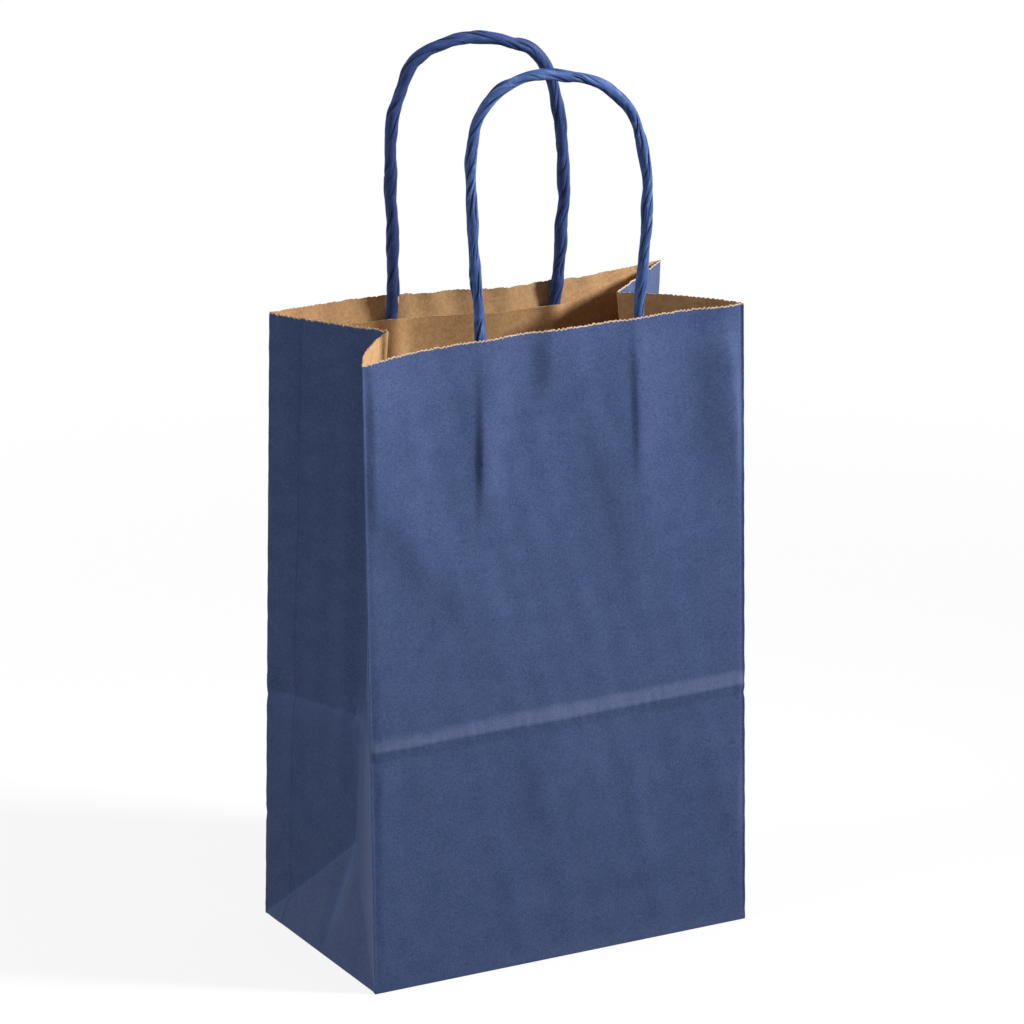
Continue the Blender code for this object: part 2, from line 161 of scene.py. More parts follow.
def distances(line: np.ndarray) -> np.ndarray:
    """Distance of each point of a broken line from its first point, along the line."""
    return np.concatenate(([0.0], np.cumsum(np.linalg.norm(np.diff(line, axis=0), axis=1))))


def make_mesh(name: str, points: np.ndarray, faces: Sequence[Sequence[int]],
              materials: Sequence[bpy.types.Material], places: np.ndarray | None = None,
              uv: np.ndarray | None = None, tags: dict[str, np.ndarray] | None = None,
              sharp_angle: float = 32.0) -> bpy.types.Object:
    """Put points and faces into the scene as one smooth-shaded object at the origin.

    Args:
        name: Name of the object.
        points: Corner points in metres, one row each.
        faces: Corner numbers of each face.
        materials: Materials in slot order.
        places: Material slot of each face.
        uv: Flat place of each point, one row each.
        tags: Named numbers, one for each point.
        sharp_angle: Degrees over which an edge stays sharp.

    Returns:
        The new object.
    """
    mesh = bpy.data.meshes.new(name)
    mesh.from_pydata(points.tolist(), [], [list(f) for f in faces])
    for material in materials:
        mesh.materials.append(material)
    if places is not None:
        mesh.polygons.foreach_set("material_index", places.astype(np.int32))
    if uv is not None:
        corners = np.empty(len(mesh.loops), dtype=np.int32)
        mesh.loops.foreach_get("vertex_index", corners)
        layer = mesh.uv_layers.new(name="Paper")
        layer.data.foreach_set("uv", uv[corners].astype(np.float32).ravel())
    for tag, values in (tags or {}).items():
        mesh.attributes.new(tag, "FLOAT", "POINT").data.foreach_set("value", values.astype(np.float32))
    mesh.shade_smooth()
    mesh.set_sharp_from_angle(angle=math.radians(sharp_angle))
    mesh.update()
    thing = bpy.data.objects.new(name, mesh)
    bpy.context.scene.collection.objects.link(thing)
    return thing


# Shader maths

class Wire:
    """A number in a shader tree; arithmetic on it adds Math nodes."""

    def __init__(self, sheet: "Sheet", socket: bpy.types.NodeSocket) -> None:
        """Keep the tree and the output socket that the number comes from."""
        self.sheet = sheet
        self.socket = socket

    def maths(self, operation: str, *values: Any) -> "Wire":
        """Math node of an operation on values."""
        return self.sheet.node("ShaderNodeMath", {"operation": operation}, dict(enumerate(values)))

    def __add__(self, other: Any) -> "Wire":
        """Sum."""
        return self.maths("ADD", self, other)

    __radd__ = __add__

    def __mul__(self, other: Any) -> "Wire":
        """Product."""
        return self.maths("MULTIPLY", self, other)

    def __sub__(self, other: Any) -> "Wire":
        """Difference."""
        return self.maths("SUBTRACT", self, other)

    def __rsub__(self, other: Any) -> "Wire":
        """Difference, turned round."""
        return self.maths("SUBTRACT", other, self)

    def step(self, low: float, high: float) -> "Wire":
        """Smooth step that is 0 at low and 1 at high; low may be the greater."""
        if low > high:
            return 1.0 - self.step(high, low)
        return self.sheet.node("ShaderNodeMapRange", {"interpolation_type": "SMOOTHSTEP"},
                               {"Value": self, "From Min": low, "From Max": high})


class Sheet:
    """One material or world and the nodes that it is built from."""

    def __init__(self, block: bpy.types.Material | bpy.types.World) -> None:
        """Start with an empty tree in that material or world."""
        self.block = block
        block.use_nodes = True
        self.tree = block.node_tree
        self.tree.nodes.clear()

    def node(self, kind: str, settings: dict[str, Any], values: dict[Any, Any],
             out: Any = 0) -> Wire:
        """Add a node.

        Args:
            kind: Blender's type of the node.
            settings: Attributes set first.
            values: Value or wire of each input, by name or number.
            out: Name or number of the output that is used.

        Returns:
            The output as a wire.
        """
        made = self.tree.nodes.new(kind)
        for key, value in settings.items():
            setattr(made, key, value)
        for key, value in values.items():
            socket = made.inputs[key]
            if isinstance(value, Wire):
                self.tree.links.new(value.socket, socket)
            elif isinstance(value, tuple) and len(value) == 3 and socket.type == "RGBA":
                socket.default_value = (*value, 1.0)
            else:
                socket.default_value = value
        return Wire(self, made.outputs[out] if len(made.outputs) else None)

    def paper_place(self, across: float = 1.0, up: float = 1.0) -> Wire:
        """Place on the paper in millimetres, from the piece's own map, stretched by two shares."""
        flat = self.node("ShaderNodeUVMap", {"uv_map": "Paper"}, {})
        scale = MAP_SPAN / MM
        return self.node("ShaderNodeVectorMath", {"operation": "MULTIPLY"},
                         {0: flat, 1: (scale * across, scale * up, 0.0)})

    def tag(self, name: str) -> Wire:
        """Number that a mesh carries at its points."""
        return self.node("ShaderNodeAttribute", {"attribute_name": name}, {}, "Fac")

    def noise(self, place: Wire, scale: float, detail: float = 2.0, twist: float = 0.0) -> Wire:
        """Soft noise of about 0 to 1, its scale in blobs for each unit of the place."""
        values = {"Vector": place, "Scale": scale, "Detail": detail, "Distortion": twist}
        return self.node("ShaderNodeTexNoise", {}, values, "Fac")

    def blend(self, share: Any, first: Any, second: Any) -> Wire:
        """Mix of two colours; the colour sockets of the Mix node are 6, 7 and, going out, 2."""
        return self.node("ShaderNodeMix", {"data_type": "RGBA"}, {0: share, 6: first, 7: second}, 2)

    def relief(self, height: Wire, depth: float) -> Wire:
        """Bump of a height from 0 to 1 over a depth in metres."""
        values = {"Strength": 1.0, "Distance": depth, "Height": height}
        return self.node("ShaderNodeBump", {}, values, "Normal")

    def sees_white(self) -> Wire:
        """1 for the rays that see the white surroundings: the camera's, mirrors' and glass's."""
        seen, *others = [self.node("ShaderNodeLightPath", {}, {}, f"Is {kind} Ray")
                         for kind in ("Camera", "Glossy", "Transmission")]
        for ray in others:
            seen = self.node("ShaderNodeMath", {"operation": "MAXIMUM"}, {0: seen, 1: ray})
        return seen

    def finish(self, colour: Any, roughness: Any, normal: Wire,
               specular: float) -> bpy.types.Material:
        """Put the shader on the output.

        Args:
            colour: Colour or wire of the surface.
            roughness: Number or wire.
            normal: Wire of the bumped normal.
            specular: Strength of the mirror part.

        Returns:
            The finished material.
        """
        shader = self.node("ShaderNodeBsdfPrincipled", {},
                           {"Base Color": colour, "Roughness": roughness, "Normal": normal,
                            "Specular IOR Level": specular})
        self.node("ShaderNodeOutputMaterial", {}, {"Surface": shader})
        return self.block


@dataclass(frozen=True)
class PrintedKraft:
    """Navy ink on kraft paper: mottled, raw at the pinked rim and scuffed at the foot. Folds are pale
    from wear and painted highlight, and painted highlight lies over the crease and on the gussets.
    """

    deep_ink: Colour = (0.039, 0.065, 0.158)
    pale_ink: Colour = (0.083, 0.118, 0.247)
    # Pale fold line: part worn ink, part painted highlight of the fold's edge
    fold_wear_and_highlight: Colour = (0.105, 0.175, 0.370)
    # Pale colour of scuffing, and of the painted highlight in the band over the crease
    scuff_and_highlight_colour: Colour = (0.140, 0.165, 0.290)
    # Painted highlight along the gusset folds and under the level crease
    pressed: Colour = (0.082, 0.135, 0.300)
    fibre: Colour = (0.64, 0.46, 0.32)
    specular: float = 0.10

    def material(self) -> bpy.types.Material:
        """Build the material."""
        sheet = Sheet(bpy.data.materials.new("navy_printed_kraft"))
        place = sheet.paper_place()
        clouds = sheet.noise(place, 0.11, 4.0)
        mottle = sheet.noise(place, 0.50, 2.0, 3.0)
        grain = sheet.noise(place, 1.7, 3.0, 1.0)
        tone = (clouds - 0.5) * 0.6 + (mottle - 0.5) * 1.3 + (grain - 0.5) * 1.1
        colour = sheet.blend((tone + 0.5).step(-0.1, 1.1), self.deep_ink, self.pale_ink)
        wear = sheet.noise(place, 0.35, 3.0)
        # Folds pale from worn ink and from a painted highlight of their edge
        fold = sheet.tag("fold").step(0.42, 0.10) * wear.step(0.38, 0.62)
        colour = sheet.blend(fold * 0.42, colour, self.fold_wear_and_highlight)
        # Scuffing at the foot, and partly scuffing, partly painted highlight in the pale band over the
        # crease
        scuff = sheet.tag("scuff") * (0.45 + mottle * 0.6)
        colour = sheet.blend(scuff * 0.9, colour, self.scuff_and_highlight_colour)
        # Painted highlight: the tag pressed lightens the gussets along their folds and under the
        # crease
        colour = sheet.blend(sheet.tag("pressed") * 0.9, colour, self.pressed)
        torn = sheet.noise(place, 1.9, 2.0)
        rim = (sheet.tag("from_rim") - torn * 0.72).step(0.10, -0.03)
        colour = sheet.blend(rim, colour, self.fibre)
        rough = sheet.noise(place, 0.75, 2.0, 2.0)
        height = mottle * 0.7 + grain * 0.3 + sheet.tag("scuff") * rough
        return sheet.finish(colour, 0.46 + (mottle - 0.5) * 0.16, sheet.relief(height, 0.00012),
                            self.specular)


@dataclass(frozen=True)
class BareKraft:
    """Unprinted brown kraft paper with flecks and long fibres, darkened by painted shade deep in the
    bag.
    """

    name: str = "bare_kraft"
    base: Colour = (0.520, 0.305, 0.145)
    dark: Colour = (0.380, 0.205, 0.085)
    light: Colour = (0.700, 0.465, 0.262)
    # Colour of the painted shade deep inside the bag
    shaded: Colour = (0.210, 0.105, 0.040)
    specular: float = 0.05

    def material(self) -> bpy.types.Material:
        """Build the material."""
        sheet = Sheet(bpy.data.materials.new(self.name))
        place = sheet.paper_place()
        mottle = sheet.noise(place, 0.60, 4.0, 1.2)
        fibres = sheet.noise(sheet.paper_place(1.0, 0.22), 3.0, 3.0, 0.6)
        clouds = sheet.noise(place, 0.07, 2.0)
        tone = (mottle - 0.5) * 1.2 + (fibres - 0.5) * 0.7 + (clouds - 0.5) * 0.5 + 0.5
        colour = sheet.blend(tone.step(0.0, 1.0), self.dark, self.light)
        colour = sheet.blend(0.4, colour, self.base)
        # Painted shade: the inside darkens towards the bottom, after the tag deep, which grows with
        # the depth under the mouth
        colour = sheet.blend(sheet.tag("deep") * 0.45, colour, self.shaded)
        height = mottle * 0.5 + fibres * 0.5
        return sheet.finish(colour, 0.78, sheet.relief(height, 0.00010), self.specular)


@dataclass(frozen=True)
class RawEdge:
    """Pale torn fibres on a cut edge of kraft paper."""

    base: Colour = (0.64, 0.46, 0.31)
    dark: Colour = (0.19, 0.12, 0.075)
    specular: float = 0.04

    def material(self) -> bpy.types.Material:
        """Build the material."""
        sheet = Sheet(bpy.data.materials.new("raw_kraft_edge"))
        fuzz = sheet.noise(sheet.paper_place(), 1.3, 4.0)
        colour = sheet.blend(fuzz.step(0.34, 0.62), self.dark, self.base)
        return sheet.finish(colour, 0.85, sheet.relief(fuzz, 0.00012), self.specular)


@dataclass(frozen=True)
class TwistedKraft:
    """Dyed kraft paper twisted to a cord: fibres run along it, ridges are pale from rubbing and
    painted highlight, and creases are darkened by painted shade.
    """

    name: str = "navy_twisted_kraft"
    base: Colour = (0.048, 0.092, 0.255)
    # Painted shade in the cord's creases
    dark: Colour = (0.010, 0.019, 0.066)
    # Pale ridges: part rubbed paper, part painted highlight
    ridge_rub_and_highlight: Colour = (0.190, 0.290, 0.550)
    core: Colour = (0.620, 0.420, 0.260)
    specular: float = 0.10

    def material(self) -> bpy.types.Material:
        """Build the material."""
        sheet = Sheet(bpy.data.materials.new(self.name))
        streaks = sheet.noise(sheet.paper_place(0.16, 1.0), 2.1, 3.0, 0.5)
        wrinkles = sheet.noise(sheet.paper_place(0.30, 1.0), 0.9, 2.0, 0.8)
        ridge = sheet.tag("ridge")
        tone = ridge * 0.70 + (streaks - 0.5) * 1.2 + (wrinkles - 0.5) * 0.9
        # Ridges lightened by rubbing and by painted highlight
        colour = sheet.blend((tone + 0.05).step(0.0, 1.0), self.base, self.ridge_rub_and_highlight)
        # Painted shade: the creases are darkened
        colour = sheet.blend((ridge + (streaks - 0.5) * 0.4).step(-0.15, -0.75), colour, self.dark)
        colour = sheet.blend(sheet.tag("bare").step(0.40, 0.55), colour, self.core)
        height = streaks * 0.5 + wrinkles * 0.5
        return sheet.finish(colour, 0.52 + (wrinkles - 0.5) * 0.2, sheet.relief(height, 0.00022),
                            self.specular)


# Form of the bag

@dataclass(frozen=True)
class BagForm:
    """Sizes of the standing bag in metres, as the solids have them."""

    width: float = 0.1406
    depth: float = 0.0795
    height: float = 0.2162
    back_drop: float = 0.0014
    paper: float = 0.00025
    leans: tuple[float, ...] = (0.0088, 0.0066, 0.0048, 0.0172)
    front_bow: tuple[tuple[float, float], ...] = (
        (0.0, 0.0), (0.014, 0.0038), (0.040, 0.0059), (0.068, 0.0056),
        (0.096, 0.0039), (0.124, 0.0033), (0.140, 0.0))
    back_bow: tuple[tuple[float, float], ...] = (
        (0.0, 0.0), (0.018, -0.0009), (0.040, -0.0014), (0.056, 0.0012),
        (0.078, 0.0068), (0.106, 0.0057), (0.124, 0.0026), (0.140, 0.0))
    bow_start: float = 0.088
    bow_growth: float = 1.4
    triangle_inset: float = 0.0137
    fold_insets: tuple[float, ...] = (0.0137, 0.0150, 0.0168)
    mouth_insets: tuple[float, float] = (0.0249, 0.0306)
    mouth_fold_y: float = -0.0020
    front_gusset_bow: float = 0.0022
    triangle_dish: float = 0.0007
    crease_height: float = 0.0805
    ridge_step: float = 0.0035

    @property
    def tip(self) -> float:
        """Height of the gusset triangle: its slant side is half the bag's depth."""
        return math.sqrt((self.depth / 2) ** 2 - self.triangle_inset ** 2)

    def panel_top(self, side: Side) -> float:
        """Height of a panel's top edge."""
        return self.height - (self.back_drop if side is Side.BACK else 0.0)

    def bow_fade(self, z: np.ndarray) -> np.ndarray:
        """Share of the mouth's bow left at a height: a power of the height over the bow's start."""
        share = (z - self.bow_start) / (self.height - self.bow_start)
        return np.maximum(0.0, share) ** self.bow_growth

    def panel_distance(self, side: Side, x: np.ndarray, z: np.ndarray) -> np.ndarray:
        """Distance of a panel from the middle plane: half the depth less its lean and its bow.

        Args:
            side: Which panel.
            x: Places across the bag.
            z: Heights.

        Returns:
            Distances along the panel's side of the Y axis.
        """
        across = np.clip(x / self.width + 0.5, 0.0, 1.0)
        first, second = self.leans[:2] if side is Side.FRONT else self.leans[2:]
        outline = np.array(self.front_bow if side is Side.FRONT else self.back_bow)
        bow = smooth_through(outline[:, 0] * self.width / outline[-1, 0], outline[:, 1],
                             across * self.width)
        return (self.depth / 2 - (first + (second - first) * across) * z / self.height
                - bow * self.bow_fade(z))

    def gusset(self, hand: Hand, side: Side, share: np.ndarray, z: np.ndarray) -> np.ndarray:
        """Points of a half gusset: straight from the upright corner to the middle fold, with the
        fold's inset a broken line over the height and a plane triangle below its slanting fold.

        Args:
            hand: Which gusset.
            side: Which half of it.
            share: 0 at the corner and 1 at the middle fold.
            z: Heights.

        Returns:
            X and Y stacked in the last direction.
        """
        mouth = self.mouth_insets[0 if hand is Hand.LEFT else 1]
        heights = (self.tip, self.crease_height, self.crease_height + 2 * self.ridge_step,
                   self.height)
        inset = share * np.interp(z, heights, (*self.fold_insets, mouth))
        flat = self.triangle_inset * z / self.tip
        dish = self.triangle_dish * 4.0 * (z / self.tip) * (1.0 - z / self.tip)
        below = np.minimum(inset, flat) + dish * np.clip(1.0 - 7.0 * (1.0 - share), 0.0, 1.0)
        inset = np.where(z < self.tip, below, inset)
        half = np.full_like(z, hand.value * self.width / 2)
        corner_y = side.value * self.panel_distance(side, half, z)
        y = corner_y + (self.mouth_fold_y * z / self.height - corner_y) * share
        x = hand.value * (self.width / 2 - inset)
        if side is Side.FRONT:
            bulge = (self.front_gusset_bow * 4.0 * share * (1.0 - share) * self.bow_fade(z)
                     * math.sqrt(0.5))
            x = x + hand.value * bulge
            y = y + bulge
        return np.stack((x, y), axis=-1)

    def mouth(self, y: np.ndarray) -> np.ndarray:
        """Height of the top edge: level on the front, a little lower on the back."""
        back, front = (self.panel_distance(side, np.zeros_like(y), np.full_like(y, self.height))
                       for side in (Side.BACK, Side.FRONT))
        return self.height - self.back_drop * np.clip((y + front) / (back + front), 0.0, 1.0)


@dataclass(frozen=True)
class Swell:
    """Soft rise of the paper, in millimetres, or a dent where it is negative. Its middle line
    leans with the height, and its reach differs to the left and right, below and above."""

    middle: float
    slant: float
    left: float
    right: float
    level: float
    below: float
    above: float
    tall: float

    def height(self, x: np.ndarray, z: np.ndarray) -> np.ndarray:
        """Product of two bell curves: tall * exp(-(across / reach)**2 - (up / reach)**2)."""
        across = x - self.middle - self.slant * (z - self.level)
        up = z - self.level
        reach_x = np.where(across < 0, self.left, self.right)
        reach_z = np.where(up < 0, self.below, self.above)
        return self.tall * np.exp(-(across / reach_x) ** 2 - (up / reach_z) ** 2)


@dataclass
class BagSkin:
    """The folded sheet as one closed mesh: printed face, bare inside and pinked raw rim."""

    form: BagForm
    fold_radius: float = 0.00035
    fold_steps: int = 4
    fold_run: tuple[float, ...] = (0.00075, 0.0010, 0.00125, 0.0016, 0.0020, 0.0026)
    even_from: float = 0.0034
    front_columns: int = 170
    back_columns: int = 70
    gusset_columns: int = 21
    level_counts: tuple[int, int, int] = (18, 19, 50)
    band_reach: tuple[float, float] = (0.0025, 0.0095)
    rim_strip: float = 0.0022
    rim_steps: int = 6
    tooth_pitch: float = 0.00160
    tooth_depth: float = 0.00055
    lap_edge: float = 2 / 7
    lap_step: float = 0.0001
    bottom_layers: int = 3
    # Sheets of paper under the lower edge of each wall
    base_sheets: tuple[float, ...] = (0.0, 2.0, 2.0, 1.0, 2.0, 2.0)
    base_blend: float = 0.006
    floor_inset: float = 0.0022
    fray: tuple[float, float] = (0.00005, 0.00006)
    corner_reach: float = 0.0018
    gusset_run: float = 39.0
    front_swells: tuple[Swell, ...] = (
        Swell(-19.4, 0.08, 10.0, 7.1, 229, 62, 6, 2.40),
        Swell(-26.2, 0.04, 1.4, 4.8, 177, 17, 24, 1.35),
        Swell(31.0, 0.06, 11.0, 23.6, 159, 26, 90, 1.94),
        Swell(30.6, 0.01, 1.5, 6.5, 183, 16, 30, 1.25),
        Swell(64.6, -0.08, 11.0, 4.6, 181, 21, 90, 2.80),
        Swell(1.5, 0.12, 4.6, 15.0, 214, 18, 9, 3.00),
        Swell(-52.0, -0.67, 9.5, 14.0, 152, 28, 30, 1.45),
        Swell(-55.2, -0.03, 11.9, 11.7, 185, 33, 15, 0.42),
        Swell(-55.1, -0.10, 8.5, 7.5, 197, 33, 12, 0.39),
        Swell(-50.6, -0.02, 4.3, 5.2, 191, 22, 27, 0.36),
        Swell(-66.0, 0.0, 2.6, 10.5, 204, 26, 40, 1.10),
        Swell(-67.2, 0.0, 1.9, 7.5, 50, 55, 60, 0.45),
        Swell(22.7, -0.19, 11.8, 11.6, 165, 20, 23, 0.38),
        Swell(-13.6, -0.11, 14.2, 12.0, 152, 17, 18, 0.40),
        Swell(34.9, -0.02, 11.5, 12.1, 214, 13, 77, 0.40),
        Swell(17.4, -0.15, 7.8, 7.3, 174, 18, 27, 0.30),
        Swell(64.8, -0.24, 9.1, 39.8, 44, 11, 17, 1.20),
        Swell(-3.8, 0.07, 9.7, 15.3, 63, 14, 23, 1.50),
        Swell(23.4, -0.36, 35.2, 25.5, 32, 15, 35, 0.56),
        Swell(28.2, 0.07, 3.5, 4.1, 61, 12, 9, 0.53),
        Swell(-16.9, -0.02, 6.5, 4.5, 13, 11, 19, 0.85),
        Swell(-52.1, -0.37, 7.1, 10.6, 70, 9, 70, 0.28),
        Swell(-65.6, 0.20, 1.8, 5.5, 73, 9, 4, 0.50))
    # Corner number, height, reach and depth of each notch, in millimetres
    corner_notches: tuple[tuple[int, float, float, float], ...] = (
        (0, 80.4, 1.3, 0.45), (0, 75.6, 0.9, 0.30), (0, 38.0, 1.6, 0.20), (3, 79.6, 1.6, 0.30),
        (3, 37.0, 1.8, 0.28), (1, 80.5, 1.4, 0.35), (2, 80.5, 1.4, 0.35), (0, 150.0, 2.0, 0.15))
    # Share of the tooth depth on each wall
    side_teeth: tuple[float, ...] = (0.72, 0.7, 0.6, 0.30, 1.0, 1.1)

    @property
    def lengths(self) -> np.ndarray:
        """Length of each wall between its two ends."""
        return np.array([self.form.depth / 2 if hand else self.form.width
                         for hand, _ in WALLS.values()])

    def half_shares(self) -> np.ndarray:
        """Places over a half gusset from its corner to its middle fold, close together at both."""
        half = self.form.depth / 2
        near = np.arange(1, self.fold_steps + 1) / self.fold_steps
        near *= self.fold_radius / half
        lap = self.lap_edge - self.lap_step / half
        even = np.arange(1, self.gusset_columns) / self.gusset_columns
        places = np.concatenate(([0.0, lap, self.lap_edge], near, even, 1.0 - near, [1.0]))
        return np.unique(np.round(places, 7))

    def panel_shares(self, side: Side) -> np.ndarray:
        """Places over a panel from corner to corner, close together at both."""
        count = self.front_columns if side is Side.FRONT else self.back_columns
        near = np.arange(1, self.fold_steps + 1) / self.fold_steps * self.fold_radius
        near = np.concatenate((near, self.fold_run)) / self.form.width
        start = self.even_from / self.form.width
        even = np.linspace(start, 1.0 - start, count)
        return np.concatenate(([0.0], near, even, np.sort(1.0 - near), [1.0]))

    def columns(self) -> tuple[np.ndarray, np.ndarray]:
        """Wall number and share of each upright mesh line, anticlockwise from the front left."""
        wall, share = [], []
        for number, (hand, side) in WALLS.items():
            places = self.half_shares() if hand else self.panel_shares(side)
            wall.append(np.full(len(places) - 1, number))
            share.append(places[:-1])
        return np.concatenate(wall), np.concatenate(share)

    def levels(self) -> np.ndarray:
        """Heights of the level mesh lines: those of the triangle's fold, then even ones."""
        crease = self.form.crease_height
        below, above = self.band_reach
        ends = (self.form.tip, crease - below, crease + above, self.form.height - self.rim_strip)
        parts = [np.linspace(low, high, count)[1:]
                 for low, high, count in zip(ends[:-1], ends[1:], self.level_counts)]
        return np.concatenate((self.half_shares() * self.form.tip, *parts))

    def flat_points(self, wall: np.ndarray, share: np.ndarray, z: np.ndarray) -> np.ndarray:
        """X and Y of places on the six walls, with the relief of the used paper on them.

        Args:
            wall: Wall numbers.
            share: Shares across each wall, anticlockwise.
            z: Heights.

        Returns:
            X and Y stacked in the last direction.
        """
        out = np.zeros((*z.shape, 2))
        for number, (hand, side) in WALLS.items():
            pick = wall == number
            s, h = share[pick], z[pick]
            if hand is None:
                x = self.form.width * (s - 0.5) * -side.value
                y = self.form.panel_distance(side, x, h) + self.panel_relief(side, x, h)
                out[pick] = np.stack((x, side.value * y), axis=-1)
            else:
                t = s if number in CORNER_FIRST else 1.0 - s
                point = self.form.gusset(hand, side, t, h)
                point[..., 0] += hand.value * self.gusset_relief(hand, side, t, h)
                out[pick] = point
        return out + self.corner_shift(wall, share, z)

    def corner_shift(self, wall: np.ndarray, share: np.ndarray, z: np.ndarray) -> np.ndarray:
        """Inward shift of the four upright corners, which are never quite straight: a sum of sines
        and a few notches, that dies away over two millimetres from the corner.

        Args:
            wall: Wall numbers.
            share: Shares across each wall, anticlockwise.
            z: Heights.

        Returns:
            X and Y of the shift, stacked in the last direction.
        """
        zm = z / MM
        lengths = self.lengths
        out = np.zeros((*z.shape, 2))
        corners = ((-1, -1, Wall.FRONT, Wall.LEFT_FRONT), (1, -1, Wall.RIGHT_FRONT, Wall.FRONT),
                   (1, 1, Wall.BACK, Wall.RIGHT_BACK), (-1, 1, Wall.LEFT_BACK, Wall.BACK))
        for number, (right, back, after, before) in enumerate(corners):
            start = np.where(wall == after, share * lengths[after], 1.0)
            end = np.where(wall == before, (1.0 - share) * lengths[before], 1.0)
            near = np.exp(-np.minimum(start, end) / self.corner_reach)
            deep = (0.05 * (1.0 + ripples(zm, 9.0, 5, 60 + number))
                    + 0.02 * ripples(zm, 2.6, 4, 70 + number))
            for which, level, reach, tall in self.corner_notches:
                if which == number:
                    deep = deep + tall * bump(zm, level, reach)
            deep = deep * near * ramp(z, 0.0, 0.004) * MM
            out[..., 0] -= right * deep
            out[..., 1] -= back * deep * 0.6
        return out

    def panel_relief(self, side: Side, x: np.ndarray, z: np.ndarray) -> np.ndarray:
        """Outward relief of a panel: ridges over the cord ends, the level crease and soft waves,
        all sums of bell curves and seeded sines that fade out at the corners.

        Args:
            side: Which panel.
            x: Places across the bag.
            z: Heights.

        Returns:
            Heights of the relief in metres.
        """
        form = self.form
        xm, zm = x / MM, z / MM
        corner = (form.width / 2 - np.abs(x)) / MM
        edge = ramp(corner, 0.0, 4.0)
        low = ramp(z, 0.0, 0.010)
        waves = (0.07 * ripples(xm + 0.25 * zm, 17.0, 5, 11 + side.value)
                 + 0.05 * ripples(zm - 0.20 * xm, 26.0, 4, 23 + side.value))
        if side is Side.FRONT:
            rise = sum(swell.height(xm, zm) for swell in self.front_swells)
            waves = waves + rise * ramp(zm, 0.0, 30.0) * (1.0 - 0.5 * ramp(zm, 198.0, 216.0))
        else:
            waves = 2.5 * waves + 0.3 * ripples(xm, 40.0, 3, 5) * ramp(zm, 120.0, 216.0)
            for middle in (-27.1, 28.2):
                waves = waves + 0.6 * np.exp(-np.abs(xm - middle) / 7.0) * ramp(zm, 145.0, 172.0)
        away = zm - (form.crease_height + form.ridge_step) / MM
        rough = 1.0 + 0.10 * ripples(xm, 3.0, 5, 9) + 0.15 * ripples(xm, 24.0, 3, 7)
        band = 0.74 * rough * np.clip(1.0 - np.abs(away) / np.where(away > 0, 5.2, 3.8), 0.0, 1.0)
        band = band + 0.10 * np.clip(1.0 - np.abs(away - 6.5) / 1.8, 0.0, 1.0)
        flange = 0.12 * bump(corner, 0.35, 0.30) - 0.20 * bump(corner, 1.15, 0.50)
        flange = flange * (0.35 + 0.65 * ramp(side.value * -xm, -20.0, 20.0))
        return (waves * edge * low + band * ramp(corner, 0.0, 1.6) + flange * low) * MM

    def gusset_relief(self, hand: Hand, side: Side, share: np.ndarray, z: np.ndarray) -> np.ndarray:
        """Outward relief of a half gusset: soft upright waves, the level crease and the lap seam.

        Args:
            hand: Which gusset.
            side: Which half.
            share: 0 at the corner and 1 at the middle fold.
            z: Heights.

        Returns:
            Heights of the relief in metres.
        """
        zm = z / MM
        edge = ramp(share, 0.0, 0.14) * ramp(1.0 - share, 0.0, 0.12)
        seed = 40 + 3 * hand.value + side.value
        across = share * self.gusset_run
        waves = (0.26 * ripples(across + 0.03 * zm, 15.0, 4, seed)
                 + 0.14 * ripples(zm, 60.0, 3, seed + 9))
        away = zm - (self.form.crease_height + 0.001) / MM
        band = -0.85 * np.exp(-np.abs(away) / np.where(away > 0, 8.0, 4.5))
        band = band - 0.40 * np.exp(-np.abs(away) / 2.0)
        band = band * (1.0 + 0.2 * ripples(across, 14.0, 3, seed + 5))
        lap = 0.0
        if hand is Hand.LEFT and side is Side.BACK:
            lap = 0.10 * ramp(share, 0.02, 0.16) * (share < self.lap_edge - 0.00125)
        return (waves * edge * ramp(zm, 36.0, 60.0) + band * edge + lap) * MM

    def rounded(self, wall: np.ndarray, share: np.ndarray, z: np.ndarray) -> np.ndarray:
        """X and Y with each upright fold rounded: near a fold the point is a quadratic Bezier
        through the places one radius before and after it, with the fold itself as its handle.

        Args:
            wall: Wall numbers.
            share: Shares across each wall.
            z: Heights.

        Returns:
            X and Y stacked in the last direction.
        """
        out = self.flat_points(wall, share, z)
        lengths, radius = self.lengths, self.fold_radius
        for step, fold in ((-1, 0.0), (1, 1.0)):
            pick = np.abs(share - fold) * lengths[wall] < radius
            here, height = wall[pick], z[pick]
            neighbour = (here + step) % len(WALLS)
            own = fold - step * radius / lengths[here]
            other = 1.0 - fold + step * radius / lengths[neighbour]
            far = self.flat_points(here, own, height)
            near = self.flat_points(neighbour, other, height)
            middle = self.flat_points(here, np.full_like(height, fold), height)
            away = np.abs(share[pick] - fold) * lengths[here]
            t = (0.5 + 0.5 * away / radius)[..., None]
            out[pick] = (1 - t) ** 2 * near + 2 * t * (1 - t) * middle + t ** 2 * far
        return out

    def outward(self, ring: np.ndarray) -> np.ndarray:
        """Level outward normals of closed rings of points: each chord between neighbours, turned."""
        chord = np.roll(ring, -1, axis=-2) - np.roll(ring, 1, axis=-2)
        normal = np.stack((chord[..., 1], -chord[..., 0]), axis=-1)
        return normal / np.linalg.norm(normal, axis=-1, keepdims=True)

    def base_step(self, wall: np.ndarray) -> np.ndarray:
        """Height of each wall's lower edge: the front flap is lowest, then the back, the ends."""
        return (np.array(self.base_sheets) * self.form.paper)[wall]

